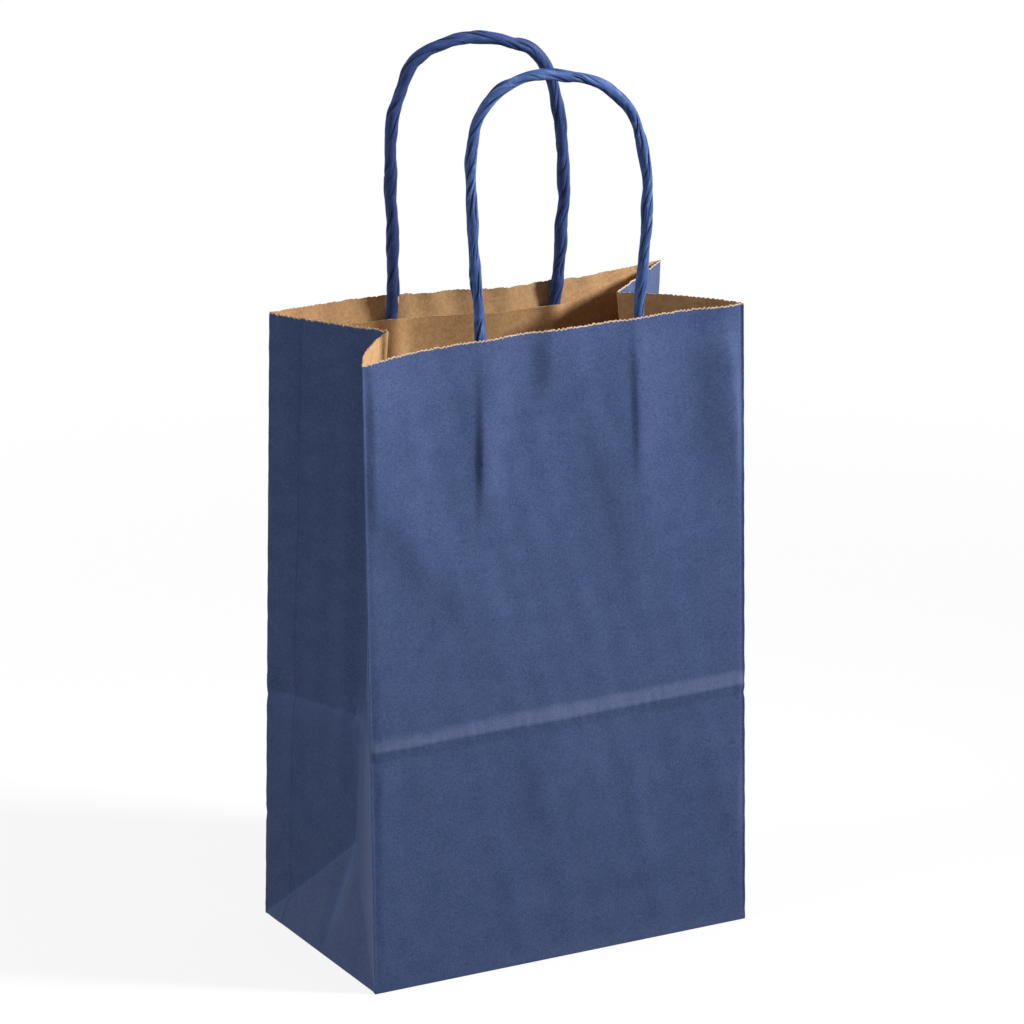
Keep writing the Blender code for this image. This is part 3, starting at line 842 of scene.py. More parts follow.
    def teeth(self, along: np.ndarray, wall: np.ndarray) -> np.ndarray:
        """Depth of the pinked edge under its mean line: rounded teeth with uneven, torn tips.

        Args:
            along: Distances round the mouth.
            wall: Wall numbers.

        Returns:
            Depths in metres.
        """
        mm = along / MM
        phase = along / self.tooth_pitch + 0.22 * ripples(mm, 9.0, 4, 3)
        wave = 1.0 - np.abs(np.sin(np.pi * phase))
        strength = np.clip(1.0 + 0.45 * ripples(mm, 5.0, 5, 21), 0.25, 1.8)
        torn = 0.16 * ripples(mm, 0.9, 7, 8) + 0.22 * ripples(mm, 4.0, 5, 15)
        size = np.array(self.side_teeth)[wall]
        return self.tooth_depth * (size * wave * strength + 0.55 * torn + 0.1)

    def rim_wave(self, wall: np.ndarray, x: np.ndarray) -> np.ndarray:
        """Slow rise and fall of the mouth's edge, in metres: bell curves on the back panel and a
        small sum of sines on the others.

        Args:
            wall: Wall numbers.
            x: Places across the bag.

        Returns:
            Heights over the mean edge.
        """
        xm = x / MM
        back = (0.38 * bump(xm, 23.0, 8.0) + 0.28 * bump(xm, -3.5, 6.0)
                - 0.34 * bump(xm, -14.0, 6.0) - 0.40 * bump(xm, 40.0, 6.5)
                - 0.36 * bump(xm, 58.0, 6.0) + 0.10 * ripples(xm, 9.0, 4, 51))
        front = 0.10 * ripples(xm, 16.0, 5, 52)
        return np.where(wall == Wall.BACK, back, np.where(wall == Wall.FRONT, front, 0.0)) * MM

    def rings(self, walls: np.ndarray, shares: np.ndarray,
              levels: np.ndarray) -> tuple[np.ndarray, np.ndarray, np.ndarray]:
        """Rings of points up the walls. Over the bow's start they stretch to the mouth's edge, and
        at the foot they step over the bottom's sheets and round off.

        Args:
            walls: Wall numbers of the rings.
            shares: Shares of the rings.
            levels: Height of each ring.

        Returns:
            Points of the printed face and of the bare face, and level normals.
        """
        form, radius = self.form, self.fold_radius
        z = np.repeat(levels[:, None], walls.shape[1], axis=1)
        trial = self.rounded(walls, shares, z)
        mouth = form.mouth(trial[..., 1]) + self.rim_wave(walls, trial[..., 0])
        stretch = (z - form.bow_start) / (form.height - self.rim_strip - form.bow_start)
        z = z + (mouth - form.height) * np.clip(stretch, 0.0, 1.0)
        fade = np.clip(1.0 - z / self.base_blend, 0.0, 1.0)
        outer_z = z + self.base_step(walls) * fade
        inner_z = z + self.bottom_layers * form.paper * fade
        outer = self.rounded(walls, shares, z)
        normal = self.outward(outer)
        under = np.clip(radius ** 2 - np.clip(radius - z, 0.0, None) ** 2, 0.0, None)
        inner = self.rounded(walls, shares, inner_z) - normal * form.paper
        outer = outer - normal * (radius - np.sqrt(under))[..., None]
        return (np.dstack((outer, outer_z[..., None])), np.dstack((inner, inner_z[..., None])),
                normal)

    def between(self, start: np.ndarray, length: np.ndarray) -> np.ndarray:
        """Even places of the rim from each start over its length."""
        part = np.arange(self.rim_steps) / self.rim_steps
        return (start[:, None] + length[:, None] * part).ravel()

    def rim(self, wall: np.ndarray, share: np.ndarray,
            ring: np.ndarray) -> tuple[np.ndarray, np.ndarray, np.ndarray, np.ndarray]:
        """Pinked edge: several points for each column, with teeth and frayed fibres.

        Args:
            wall: Wall number of each column.
            share: Share of each column.
            ring: X and Y of the highest ring.

        Returns:
            Wall numbers, shares, and points of the edge's outer and inner line.
        """
        length = np.linalg.norm(np.roll(ring, -1, axis=0) - ring, axis=1)
        along = self.between(starts(length), length)
        next_share = np.where(np.roll(wall, -1) == wall, np.roll(share, -1), 1.0)
        walls = np.repeat(wall, self.rim_steps)
        shares = self.between(share, next_share - share)
        xy = self.rounded(walls, shares, np.full(len(along), self.form.height))
        z = (self.form.mouth(xy[:, 1]) + self.rim_wave(walls, xy[:, 0])
             - self.teeth(along, walls))
        normal = self.outward(xy)
        sideways, upward = self.fray
        frayed = sideways * ripples(along / MM, 1.6, 6, 31)
        outer = np.column_stack((xy + normal * frayed[:, None], z))
        inner = np.column_stack((xy + normal * (frayed - self.form.paper)[:, None],
                                 z + upward * ripples(along / MM, 1.3, 5, 77)))
        return walls, shares, outer, inner

    def build(self, materials: Sequence[bpy.types.Material]) -> bpy.types.Object:
        """Make the skin: rings of points up the walls for both faces, a rim with its teeth between
        them, and flat bottoms.

        Args:
            materials: Printed, bare and raw edge materials.

        Returns:
            The bag's paper.
        """
        wall, share = self.columns()
        levels = self.levels()
        across, rows = len(wall), len(levels)
        walls, shares = (np.broadcast_to(row, (rows, across)) for row in (wall, share))
        outer, inner, normal = self.rings(walls, shares, levels)
        ring = outer[..., :2]
        rim_wall, rim_share, rim_outer, rim_inner = self.rim(wall, share, ring[-1])
        base = 2.0 * self.form.paper
        low_ring = np.column_stack((ring[0] - normal[0] * self.floor_inset,
                                    np.full(across, base)))
        points = np.vstack((outer.reshape(-1, 3), inner.reshape(-1, 3), rim_outer, rim_inner,
                            low_ring))
        faces, places = self.faces(wall, rows)
        wide = np.linalg.norm(np.roll(ring, -1, axis=1) - ring, axis=2).mean(axis=0)
        run = starts(wide)
        rim_map = np.column_stack((self.between(run, wide), rim_outer[:, 2]))
        uv = np.vstack((np.column_stack((np.tile(run, rows), outer[..., 2].ravel())),
                        np.column_stack((np.tile(run, rows), inner[..., 2].ravel())),
                        rim_map, rim_map, low_ring[:, :2])) / MAP_SPAN
        tags = self.tags(walls, shares, points, rim_wall, rim_share)
        bag = make_mesh("bag_paper", points, faces, materials, places, uv, tags, 26.0)
        self.sharpen_triangles(bag, wall, share)
        return bag

    def faces(self, wall: np.ndarray, rows: int) -> tuple[list[list[int]], np.ndarray]:
        """Corner numbers and material places of the skin's faces.

        Args:
            wall: Wall number of each column.
            rows: Number of level mesh lines.

        Returns:
            Faces and their material places. Each cell of the walls is two triangles whose common
            edge follows the slanting fold of the gusset triangle.
        """
        across = len(wall)
        column = np.arange(across)
        right = (column + 1) % across
        row = np.arange(rows - 1)[:, None]
        a, b = row * across + column, row * across + right
        c, d = b + across, a + across
        rising = np.isin(wall, (Wall.FRONT, *CORNER_FIRST))[None, :, None]
        first = np.where(rising, np.dstack((a, b, c)), np.dstack((a, b, d)))
        second = np.where(rising, np.dstack((a, c, d)), np.dstack((b, c, d)))
        walls_out = np.vstack((first.reshape(-1, 3), second.reshape(-1, 3)))
        skin = rows * across
        walls_in = walls_out[:, ::-1] + skin
        top = (rows - 1) * across
        steps = self.rim_steps
        rim = 2 * skin
        rim_in = rim + across * steps
        own = column[:, None] * steps + np.arange(steps)
        following = (right * steps)[:, None]
        strip = np.hstack(((top + column)[:, None], (top + right)[:, None], rim + following,
                           rim + own[:, ::-1]))
        strip_in = np.hstack(((skin + top + right)[:, None], (skin + top + column)[:, None],
                              rim_in + own, rim_in + following))
        count = across * steps
        here = np.arange(count)
        ahead = (here + 1) % count
        edge = np.column_stack((rim + here, rim + ahead, rim_in + ahead, rim_in + here))
        low = rim_in + count
        under = np.column_stack((low + column, low + right, right, column))
        bottom = [np.arange(across)[::-1] + low]
        floor = [skin + np.arange(across)]
        groups = ((walls_out, Face.PRINTED), (walls_in, Face.INSIDE), (strip, Face.PRINTED),
                  (strip_in, Face.INSIDE), (edge, Face.RAW_EDGE), (under, Face.PRINTED),
                  (bottom, Face.PRINTED), (floor, Face.INSIDE))
        faces: list[list[int]] = []
        places: list[int] = []
        for group, place in groups:
            rows_of = [list(map(int, f)) for f in group]
            faces += rows_of
            places += [place.value] * len(rows_of)
        return faces, np.array(places)

    def tags(self, walls: np.ndarray, shares: np.ndarray, points: np.ndarray,
             rim_wall: np.ndarray, rim_share: np.ndarray) -> dict[str, np.ndarray]:
        """Numbers that the finishes read: millimetres under the mean rim, millimetres from the
        nearest outer fold, the shares of scuffing and painted highlight, of painted highlight on the
        gussets and of painted shade deep inside the bag.

        Args:
            walls: Wall numbers of the rings.
            shares: Shares of the rings.
            points: All points.
            rim_wall: Wall numbers of the rim's points.
            rim_share: Shares of the rim's points.

        Returns:
            One array for each tag.
        """
        form = self.form
        all_wall = np.concatenate((walls.ravel(), walls.ravel(), rim_wall, rim_wall, walls[0]))
        all_share = np.concatenate((shares.ravel(), shares.ravel(), rim_share, rim_share, shares[0]))
        lengths = self.lengths[all_wall]
        start, end = all_share * lengths, (1.0 - all_share) * lengths
        corner_first, corner_last = np.isin(all_wall, CORNER_FIRST), np.isin(all_wall, CORNER_LAST)
        corner = np.where(corner_first, start, np.where(corner_last, end, np.minimum(start, end)))
        z = points[:, 2]
        mean_rim = form.mouth(points[:, 1]) + self.rim_wave(all_wall, points[:, 0])
        from_rim = np.clip((mean_rim - z) / MM - 0.25, 0.0, TAG_REACH)
        from_rim[2 * walls.size:2 * (walls.size + rim_wall.size)] = 0.0
        panel = np.isin(all_wall, PANELS).astype(float)
        middle = np.where(corner_first, end, start)
        return {"from_rim": from_rim, "fold": np.clip(corner / MM, 0.0, TAG_REACH),
                # Scuffing at the foot, and scuffing with painted highlight over the crease
                "scuff": self.scuff_and_highlight_share(points[:, 0] / MM, z / MM) * panel,
                # Painted highlight along the gusset folds and under the crease
                "pressed": self.painted_fold_light_share(middle / MM, z / MM) * (1.0 - panel),
                # Painted shade deeper inside the bag
                "deep": ramp(form.mouth(points[:, 1]) - z, 0.018, 0.070)}

    def scuff_and_highlight_share(self, x: np.ndarray, z: np.ndarray) -> np.ndarray:
        """Share of scuffing and painted highlight on a panel: an uneven pale band over the crease,
        part scuffing and part painted highlight, and scuffing at the foot.

        Args:
            x: Places across the bag in millimetres.
            z: Heights in millimetres.

        Returns:
            Shares from 0 to 1.
        """
        crease = self.form.crease_height / MM
        top = crease + 6.5 + 1.4 * ramp(x, -60.0, 0.0) + 0.3 * ripples(x, 12.0, 4, 17)
        band = 0.72 * ramp(z, crease + 2.9, crease + 3.8) * (1.0 - ramp(z, top - 1.6, top + 1.6))
        foot = 0.30 * np.clip(1.0 - z / 7.0, 0.0, 1.0) * ramp(x, -60.0, 20.0)
        return np.clip(band + foot, 0.0, 1.0)

    def painted_fold_light_share(self, middle: np.ndarray, z: np.ndarray) -> np.ndarray:
        """Share of painted highlight on a gusset: along the triangle's upright and slanting folds, and
        less and less downwards from the crease.

        Args:
            middle: Distances from the middle fold in millimetres.
            z: Heights in millimetres.

        Returns:
            Shares from 0 to 1.
        """
        tip, crease = self.form.tip / MM, self.form.crease_height / MM
        streak = 0.36 * bump(middle, 0.0, 0.9) + 0.26 * bump(middle, 0.0, 2.8)
        streak = streak * ramp(z, 4.0, 12.0) * (1.0 - ramp(z, tip - 1.0, tip + 2.0))
        from_slant = z - tip * (1.0 - middle / (self.form.depth / 2 / MM))
        slant = 0.30 * bump(from_slant, 0.0, 1.0) * (z < tip)
        below = 0.26 * (z < crease + 1.0) * np.exp((z - crease) / 14.0)
        return np.clip(streak + slant + below, 0.0, 1.0)

    def sharpen_triangles(self, bag: bpy.types.Object, wall: np.ndarray, share: np.ndarray) -> None:
        """Mark the slanting folds of the gusset triangles as sharp edges.

        Args:
            bag: The bag's paper.
            wall: Wall number of each column.
            share: Share of each column.
        """
        mesh = bag.data
        across = len(wall)
        halves = self.half_shares()
        # Numbers of the points on the slanting folds: those of neighbours differ by one
        off_fold, wall_block = -100, 1000
        order = np.full(len(mesh.vertices), off_fold)
        for number in CORNER_FIRST + CORNER_LAST:
            columns = np.nonzero(wall == number)[0]
            from_corner = share[columns] if number in CORNER_FIRST else 1.0 - share[columns]
            rows = np.array([int(np.argmin(np.abs(halves - s))) for s in from_corner])
            order[rows * across + columns] = rows + wall_block * number
        ends = np.empty(2 * len(mesh.edges), dtype=np.int32)
        mesh.edges.foreach_get("vertices", ends)
        ends = ends.reshape(-1, 2)
        gap = np.abs(order[ends[:, 0]] - order[ends[:, 1]])
        slanting = (order[ends] > 0).all(axis=1) & (gap == 1)
        layer = (mesh.attributes.get("sharp_edge")
                 or mesh.attributes.new("sharp_edge", "BOOLEAN", "EDGE"))
        sharp = np.empty(len(mesh.edges), dtype=bool)
        layer.data.foreach_get("value", sharp)
        layer.data.foreach_set("value", sharp | slanting)


@dataclass
class BottomFlaps:
    """The two glued flaps under the bottom, thin closed sheets that overlap past the middle."""

    form: BagForm
    overlap: float = 0.020
    corner_inset: float = 0.0010
    clear: float = 0.00001

    def build(self, materials: Sequence[bpy.types.Material]) -> bpy.types.Object:
        """Make both flaps in one mesh: each is a level outline with a thickness.

        Args:
            materials: Printed, bare and raw edge materials.

        Returns:
            The flaps.
        """
        half_width = self.form.width / 2 - self.corner_inset
        half_depth = self.form.depth / 2 - self.corner_inset / 2
        meet = half_width - half_depth
        edge = self.overlap / 2
        front = [(-half_width, -half_depth), (half_width, -half_depth), (meet, 0.0),
                 (meet - edge, edge), (edge - meet, edge), (-meet, 0.0)]
        back = [(half_width, half_depth), (-half_width, half_depth), (-meet, 0.0),
                (edge - meet, -edge), (meet - edge, -edge), (meet, 0.0)]
        points, faces, places = [], [], []
        for layer, outline in enumerate((front, back)):
            low = layer * self.form.paper
            high = low + self.form.paper - self.clear
            first, count = len(points), len(outline)
            points += [(x, y, low) for x, y in outline] + [(x, y, high) for x, y in outline]
            ring = list(range(first, first + count))
            faces += [ring[::-1], [i + count for i in ring]]
            places += [Face.PRINTED.value, Face.INSIDE.value]
            faces += [[i, j, j + count, i + count] for i, j in zip(ring, ring[1:] + ring[:1])]
            places += [Face.RAW_EDGE.value] * count
        where = np.array(points)
        tags = {name: np.full(len(where), value)
                for name, value in (("from_rim", TAG_REACH), ("fold", TAG_REACH), ("scuff", 0.1))}
        return make_mesh("bottom_flaps", where, faces, materials, np.array(places),
                         where[:, :2] / MAP_SPAN, tags, 30.0)


# Handles

@dataclass
class TwistedHandle:
    """A handle of twisted paper: a route of centre points and a turning, creased section. With a
    bare end, the core shows in a sliver at the foot of its first leg."""

    name: str
    node: str
    side: Side
    form: BagForm
    legs: tuple[float, float]
    rise: float
    loop: tuple[tuple[float, float], ...]
    wide: float
    narrow: float
    seed: int
    tail: float = 0.050
    tail_bays: int = 4
    pressed: float = 0.58
    strip_drop: float = 0.0085
    bare_end: bool = False
    twist_pitch: float = 0.042
    lean: float = math.radians(3.5)
    step: float = 0.00045
    around: int = 72
    panel_gap: float = 0.0003
    free_from: float = 0.012
    route_points: int = 4000
    kinks: tuple[float, float] = (0.00016, 0.00012)
    plies: int = 6
    crease_depth: float = 0.00036
    lobe_height: float = 0.00007
    bare_turn: float = 2.40
    bare_slant: float = 160.0

    def route(self) -> np.ndarray:
        """Centre line: up inside the panel, over the loop and down again, as the solids have it."""
        form, side = self.form, self.side
        mouth = form.panel_top(side)
        left, right = self.legs
        heights = mouth - self.tail * (1 - np.arange(self.tail_bays) / self.tail_bays)
        inside = form.paper + self.panel_gap + self.wide / 2

        def leg(x: float, z: np.ndarray) -> np.ndarray:
            """Points of a leg beside its panel."""
            y = side.value * (form.panel_distance(side, np.full_like(z, x), z) - inside)
            return np.column_stack((np.full_like(z, x), y, z))

        across, up = np.array(self.loop).T
        y_left, y_right = (leg(x, np.array([mouth]))[0, 1] for x in (left, right))
        y = y_left + (y_right - y_left) * np.clip((across + 1) / 2, 0.0, 1.0)
        y = y - side.value * math.tan(self.lean) * self.rise * up
        over = np.column_stack(((left + right) / 2 + (right - left) / 2 * across, y,
                                mouth + self.rise * up))
        return np.vstack((leg(left, heights), over, leg(right, heights[::-1])))

    def centres(self) -> tuple[np.ndarray, np.ndarray]:
        """Even points along the smooth route with small kinks, and their distances along it."""
        route = self.route()
        along = distances(route)
        fine = np.linspace(0.0, along[-1], self.route_points)
        curve = np.stack([smooth_through(along, route[:, k], fine) for k in range(3)], axis=1)
        length = distances(curve)
        places = np.linspace(0.0, length[-1], int(round(length[-1] / self.step)) + 1)
        points = np.stack([np.interp(places, length, curve[:, k]) for k in range(3)], axis=1)
        free = np.ones_like(places)
        for from_end in (places, places[-1] - places):
            free = free * ramp(from_end, self.tail, self.tail + self.free_from)
        points[:, 0] += self.kinks[0] * free * ripples(places / MM, 17.0, 4, self.seed)
        points[:, 2] += self.kinks[1] * free * ripples(places / MM, 15.0, 4, self.seed + 1)
        return points, places

    def radius(self, angle: np.ndarray, along: np.ndarray) -> tuple[np.ndarray, np.ndarray]:
        """Section of the cord: an oval with plies, each a shallow lobe between two creases whose
        depth and place wander along the cord.

        Args:
            angle: Angles in the turning section.
            along: Distances along the cord.

        Returns:
            Radii, and the ridge number of each place from -1 in a crease to 1 on a lobe.
        """
        rng = np.random.default_rng(self.seed)
        a, b = self.wide / 2, self.narrow / 2
        oval = a * b / np.hypot(b * np.cos(angle), a * np.sin(angle))
        places = np.arange(self.plies) + rng.uniform(-0.30, 0.30, self.plies)
        places = 2 * np.pi * places / self.plies
        mm = along / MM
        cut = np.zeros_like(angle)
        lobe = np.zeros_like(angle)
        for k, place in enumerate(places):
            drift = 0.30 * ripples(mm, 26.0, 3, self.seed + 10 + k)
            away = np.angle(np.exp(1j * (angle - place - drift)))
            deep = np.clip(0.55 + 0.55 * ripples(mm, 21.0, 3, self.seed + 40 + k), 0.05, 1.3)
            cut = np.maximum(cut, deep * np.exp(-np.abs(away) / 0.17))
            lobe = lobe + deep * 0.5 * np.exp(-((away - 0.42) / 0.30) ** 2)
        swell = 0.035 * ripples(mm, 11.0, 4, self.seed + 80)
        radius = oval * (1.0 + swell) - self.crease_depth * cut + self.lobe_height * lobe
        return radius, np.clip(0.75 * lobe - 1.5 * cut + 0.1, -1.0, 1.0)

    def build(self, material: bpy.types.Material) -> bpy.types.Object:
        """Sweep the section along the route; the frame keeps to the bag's upright plane.

        Args:
            material: Finish of the cord.

        Returns:
            The handle.
        """
        centres, along = self.centres()
        tangent = np.gradient(centres, axis=0)
        tangent /= np.linalg.norm(tangent, axis=1)[:, None]
        toward = np.array([0.0, float(self.side.value), 0.0])
        first = toward - tangent * (tangent @ toward)[:, None]
        first /= np.linalg.norm(first, axis=1)[:, None]
        second = np.cross(tangent, first)
        angle = np.broadcast_to(2 * np.pi * np.arange(self.around) / self.around,
                                (len(along), self.around))
        stretch = np.broadcast_to(along[:, None], angle.shape)
        radius, ridge = self.radius(angle, stretch)
        turned = angle + 2 * np.pi * stretch / self.twist_pitch
        strip_top = self.form.panel_top(self.side) - self.strip_drop
        out_of_strip = ramp(centres[:, 2], strip_top - 0.001, strip_top + 0.012)
        thin = 1.0 - (1.0 - self.pressed) * (1.0 - out_of_strip)
        shift = (1.0 - thin) * self.wide / 2
        out = (radius * np.cos(turned) * thin[:, None] + shift[:, None])[..., None] * first[:, None]
        points = centres[:, None] + out + (radius * np.sin(turned))[..., None] * second[:, None]
        rings = len(along)
        ring = np.arange(rings - 1)[:, None] * self.around
        k = np.arange(self.around)
        following = (k + 1) % self.around
        quads = np.dstack((ring + k, ring + following, ring + following + self.around,
                           ring + k + self.around)).reshape(-1, 4)
        faces = quads.tolist() + [list(range(self.around))[::-1],
                                  [int(i) for i in (rings - 1) * self.around + k]]
        around_run = np.abs(np.sin(angle / 2)) * 4.0 * MM
        uv = np.column_stack((stretch.ravel(), around_run.ravel())) / MAP_SPAN
        bare = np.zeros_like(angle)
        if self.bare_end:
            aslant = (stretch - self.tail) * self.bare_slant
            toward_right = np.angle(np.exp(1j * (turned + self.bare_turn + aslant)))
            bare = bump(stretch, self.tail - 0.0012, 0.0020) * bump(toward_right, 0.0, 0.40)
        return make_mesh(self.name, points.reshape(-1, 3), faces, [material], None, uv,
                         {"ridge": ridge.ravel(), "bare": bare.ravel()}, 60.0)


@dataclass
class GluedStrip:
    """Brown strip over both cord ends of a handle: flat on its panel, a tent over each cord."""

    name: str
    node: str
    handle: TwistedHandle
    width: float = 0.125
    top_drop: float = 0.0085
    below_cord: float = 0.0085
    end_cover: float = 0.0010
    tent_width: float = 0.0044
    gap: float = 0.0003
    columns: int = 180
    rows: int = 44

    def tent(self, offset: np.ndarray) -> np.ndarray:
        """Height over the panel at a distance from a cord: a bell curve over the flattened cord."""
        crown = 2 * self.gap + self.handle.wide * self.handle.pressed
        return self.gap + (crown - self.gap) * np.exp(-(offset / self.tent_width) ** 2)

    def build(self, materials: Sequence[bpy.types.Material]) -> bpy.types.Object:
        """Make the strip as a closed sheet: a grid for each face and a band round their edges.

        Args:
            materials: Printed, bare and raw edge materials.

        Returns:
            The strip.
        """
        form, side = self.handle.form, self.handle.side
        mouth = form.panel_top(side)
        top, bottom = mouth - self.top_drop, mouth - self.handle.tail - self.below_cord
        covered = mouth - self.handle.tail - self.end_cover
        x = np.linspace(-self.width / 2, self.width / 2, self.columns + 1)
        z = np.linspace(top, bottom, self.rows + 1)
        xx, zz = np.meshgrid(x, z)
        xm, seed = xx / MM, self.handle.seed + 60
        wavy = 0.00012 * ripples(xm, 13.0, 4, seed) * ramp(zz, top - 0.006, top)
        zz = zz + 0.00018 * ripples(xm, 24.0, 4, seed + 1) * ramp(zz, top - 0.004, top)
        tent = np.maximum(self.tent(xx - self.handle.legs[0]), self.tent(xx - self.handle.legs[1]))
        zz = zz + 0.28 * (tent - self.gap) * ramp(zz, top - 0.010, top)
        share = ramp(zz, bottom, covered)
        lift = self.gap + (tent - self.gap) * share
        near = form.panel_distance(side, xx, zz) - form.paper - lift
        outer = np.dstack((xx, side.value * near, zz))
        inner = np.dstack((xx, side.value * (near - form.paper - np.abs(wavy)), zz))
        rows, across = xx.shape
        grid = np.arange(rows * across).reshape(rows, across)
        a, b = grid[:-1, :-1], grid[:-1, 1:]
        d, c = grid[1:, :-1], grid[1:, 1:]
        front = np.dstack((a, d, c, b)).reshape(-1, 4)
        if side is Side.BACK:
            front = front[:, ::-1]
        rim = np.concatenate((grid[0, :-1], grid[:-1, -1], grid[-1, :0:-1], grid[:0:-1, 0]))
        ahead = np.roll(rim, -1)
        count = rows * across
        band = np.column_stack((rim, ahead, ahead + count, rim + count))
        if side is Side.BACK:
            band = band[:, ::-1]
        faces = np.vstack((front, front[:, ::-1] + count, band))
        places = np.concatenate((np.full(2 * len(front), Face.INSIDE.value),
                                 np.full(len(band), Face.RAW_EDGE.value)))
        points = np.vstack((outer.reshape(-1, 3), inner.reshape(-1, 3)))
        uv = points[:, [0, 2]] / MAP_SPAN
        return make_mesh(self.name, points, faces.tolist(), materials, places, uv, {}, 40.0)


# Studio

@dataclass(frozen=True)
class Lamp:
    """Square area lamp. Its beam is the whole angle in degrees, with light that fades out beside
    the aim, and its power is in watts."""

    name: str
    place: Place
    aim: Place
    size: float
    power: float
    beam: float

    def add(self) -> None:
        """Put the lamp into the scene."""
        data = bpy.data.lights.new(self.name, "AREA")
        data.size, data.energy, data.spread = self.size, self.power, math.radians(self.beam)
        lamp = bpy.data.objects.new(self.name, data)
        lamp.location = self.place
        toward = Vector(self.aim) - Vector(self.place)
        lamp.rotation_euler = toward.to_track_quat("-Z", "Y").to_euler()
        bpy.context.scene.collection.objects.link(lamp)


@dataclass(frozen=True)
class Studio:
    """Camera, lamps, pale floor and white surroundings."""

    yaw: float = math.radians(28.577)
    pitch: float = math.radians(19.910)
    roll: float = math.radians(0.280)
    target: Place = (0.00183, 0.0, 0.14403)
    distance: float = 2.9908
    lens: float = 318.01
    ambient: float = 0.32
    matt_grey: float = 0.30
    shadow_grey: float = 0.20
    glow: float = 0.83
    shadow_fade: tuple[float, float] = (0.15, 0.60)
    floor_reach: float = 6.0
    lamps: tuple[Lamp, ...] = (
        Lamp("key_lamp", place=(0.72, -0.54, 0.66), aim=(0.0, 0.0, 0.30),
             size=0.15, power=2.15, beam=66.0),
        Lamp("fill_lamp", place=(-0.90, 0.10, 0.82), aim=(0.0, 0.0, 0.10),
             size=0.50, power=1.5, beam=120.0))

    def camera(self) -> None:
        """Set the camera: its back direction from yaw and pitch, turned by a small roll."""
        back = Vector((-math.sin(self.yaw) * math.cos(self.pitch),
                       -math.cos(self.yaw) * math.cos(self.pitch), math.sin(self.pitch)))
        right = Vector((0.0, 0.0, 1.0)).cross(back).normalized()
        up = back.cross(right)
        turn = Matrix((right, up, back)).transposed().to_4x4()
        data = bpy.data.cameras.new("photo_camera")
        data.lens, data.sensor_width = self.lens, 36.0
        data.clip_start, data.clip_end = 0.05, 50.0
        camera = bpy.data.objects.new("photo_camera", data)
        camera.matrix_world = (Matrix.Translation(Vector(self.target) + back * self.distance)
                               @ turn @ Matrix.Rotation(self.roll, 4, "Z"))
        bpy.context.scene.collection.objects.link(camera)
        bpy.context.scene.camera = camera

    def floor(self) -> None:
        """Pale floor that comes up to white for the camera, save in the bag's shadow near it."""
        sheet = Sheet(bpy.data.materials.new("pale_floor"))
        matt, faint = (sheet.node("ShaderNodeBsdfDiffuse", {}, {"Color": (grey, grey, grey)})
                       for grey in (self.matt_grey, self.shadow_grey))
        glow, white = (sheet.node("ShaderNodeEmission", {}, {"Color": WHITE, "Strength": power})
                       for power in (self.glow, 1.0))
        both = sheet.node("ShaderNodeAddShader", {}, {0: faint, 1: glow})
        place = sheet.node("ShaderNodeTexCoord", {}, {}, "Object")
        away = sheet.node("ShaderNodeVectorMath", {"operation": "LENGTH"}, {0: place}, "Value")
        bright = sheet.node("ShaderNodeMixShader", {},
                            {0: away.step(*self.shadow_fade), 1: both, 2: white})
        shader = sheet.node("ShaderNodeMixShader", {}, {0: sheet.sees_white(), 1: matt, 2: bright})
        sheet.node("ShaderNodeOutputMaterial", {}, {"Surface": shader})
        corners = np.array([(-1, -1, 0), (1, -1, 0), (1, 1, 0), (-1, 1, 0)]) * self.floor_reach
        floor = make_mesh("floor", corners, [(0, 1, 2, 3)], [sheet.block])

    def world(self) -> None:
        """Plain surroundings: soft light on the object, white for the camera and in mirrors."""
        world = bpy.data.worlds.new("studio_air")
        sheet = Sheet(world)
        soft, white = (sheet.node("ShaderNodeBackground", {}, {"Color": WHITE, "Strength": power})
                       for power in (self.ambient, 1.0))
        light = sheet.node("ShaderNodeMixShader", {}, {0: sheet.sees_white(), 1: soft, 2: white})
        sheet.node("ShaderNodeOutputWorld", {}, {"Surface": light})
        bpy.context.scene.world = world

    def build(self) -> None:
        """Set the studio up."""
        self.camera()
        self.world()
        self.floor()
        for lamp in self.lamps:
            lamp.add()
        bpy.context.scene.view_settings.view_transform = "Standard"


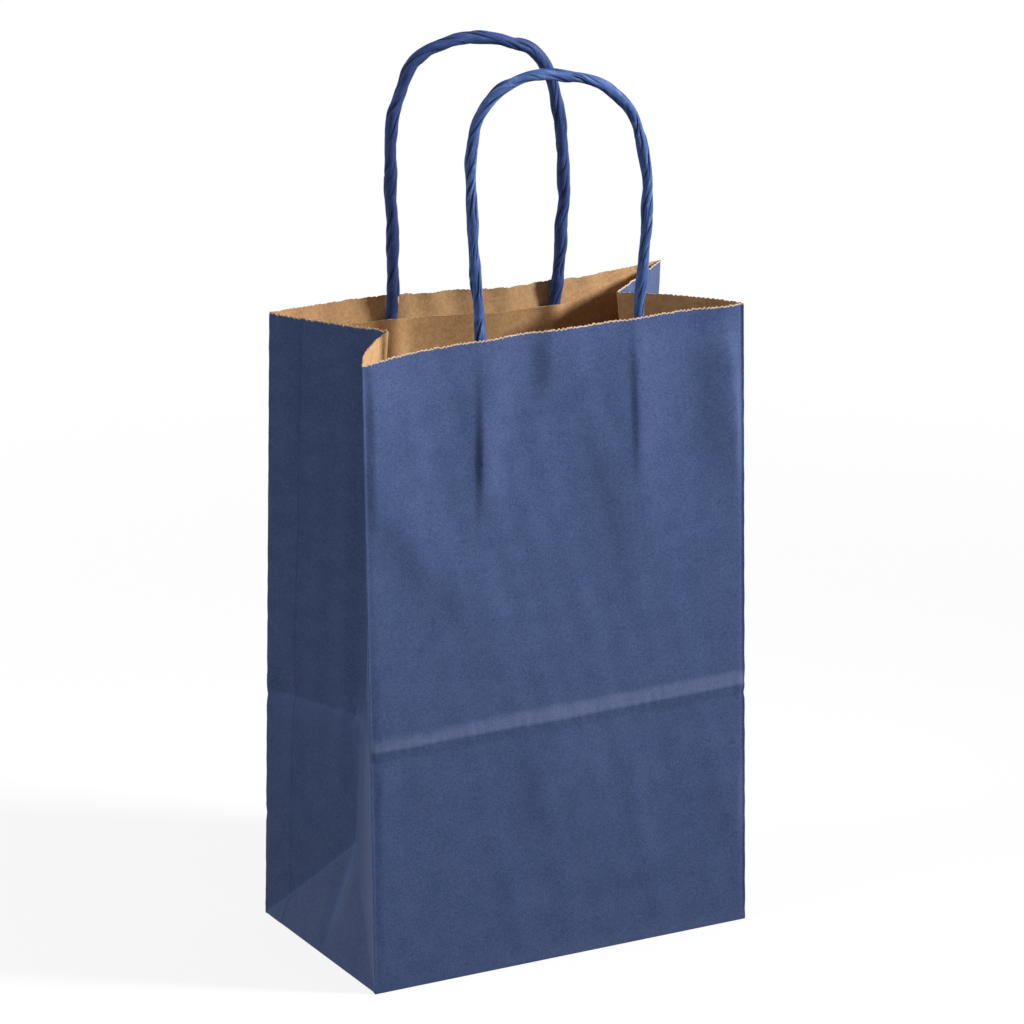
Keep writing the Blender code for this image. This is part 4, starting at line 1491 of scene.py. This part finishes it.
def handles(form: BagForm) -> tuple[TwistedHandle, TwistedHandle]:
    """The two handles with the places of their legs and the outlines of their loops."""
    front = TwistedHandle(
        name="front_twisted_handle", node="front_handle", side=Side.FRONT, form=form,
        legs=(-0.0228, 0.0345), rise=0.0844, wide=0.0041, narrow=0.0034, seed=101,
        loop=((-1.0, 0.0), (-1.048, 0.31), (-1.065, 0.59), (-1.055, 0.72), (-0.950, 0.857),
              (-0.690, 0.957), (-0.285, 0.998), (0.208, 0.976), (0.581, 0.932), (0.926, 0.816),
              (1.122, 0.607), (1.140, 0.445), (1.078, 0.21), (1.0, 0.0)))
    back = TwistedHandle(
        name="back_twisted_handle", node="back_handle", side=Side.BACK, form=form,
        legs=(-0.0271, 0.0278), rise=0.0889, wide=0.0045, narrow=0.0039, seed=202, bare_end=True,
        loop=((-1.0, 0.0), (-1.040, 0.27), (-1.094, 0.54), (-1.079, 0.70), (-0.986, 0.815),
              (-0.797, 0.932), (-0.405, 0.990), (-0.107, 0.998), (0.326, 0.968), (0.594, 0.930),
              (0.811, 0.824), (0.952, 0.640), (1.036, 0.36), (1.021, 0.165), (1.0, 0.0)))
    return front, back


def main() -> None:
    """Build the pieces in order and report each one."""
    logging.basicConfig(level=logging.INFO, format="%(name)s: %(message)s")
    Studio().build()
    form = BagForm()
    papers = (PrintedKraft().material(), BareKraft().material(), RawEdge().material())
    strip_paper = BareKraft("strip_kraft", base=(0.430, 0.245, 0.110), dark=(0.310, 0.165, 0.066),
                            light=(0.580, 0.370, 0.195))
    strip_papers = (papers[0], strip_paper.material(), papers[2])
    # The back cord has a darker copy of the front cord's finish
    back_cord = TwistedKraft("navy_twisted_kraft_back", base=(0.034, 0.060, 0.178),
                             dark=(0.014, 0.022, 0.068), ridge_rub_and_highlight=(0.080, 0.135, 0.330))
    cords = {Side.FRONT: TwistedKraft().material(), Side.BACK: back_cord.material()}

    bag = BagSkin(form).build(papers)
    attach(bag, "root")
    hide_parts("bag_body")
    flaps = BottomFlaps(form).build(papers)
    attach(flaps, "root")
    made = [bag, flaps]
    for handle in handles(form):
        loop = handle.build(cords[handle.side])
        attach(loop, "root")
        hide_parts(handle.node)
        name = handle.side.name.lower()
        strip = GluedStrip(f"{name}_glued_strip", f"{name}_handle_patch", handle)
        sheet = strip.build(strip_papers)
        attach(sheet, "root")
        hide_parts(strip.node)
        made += [loop, sheet]
    for piece in made:
        mesh = piece.data
        log.info("%s: %d points, %d faces", piece.name, len(mesh.vertices), len(mesh.polygons))


if __name__ == "__main__":
    main()
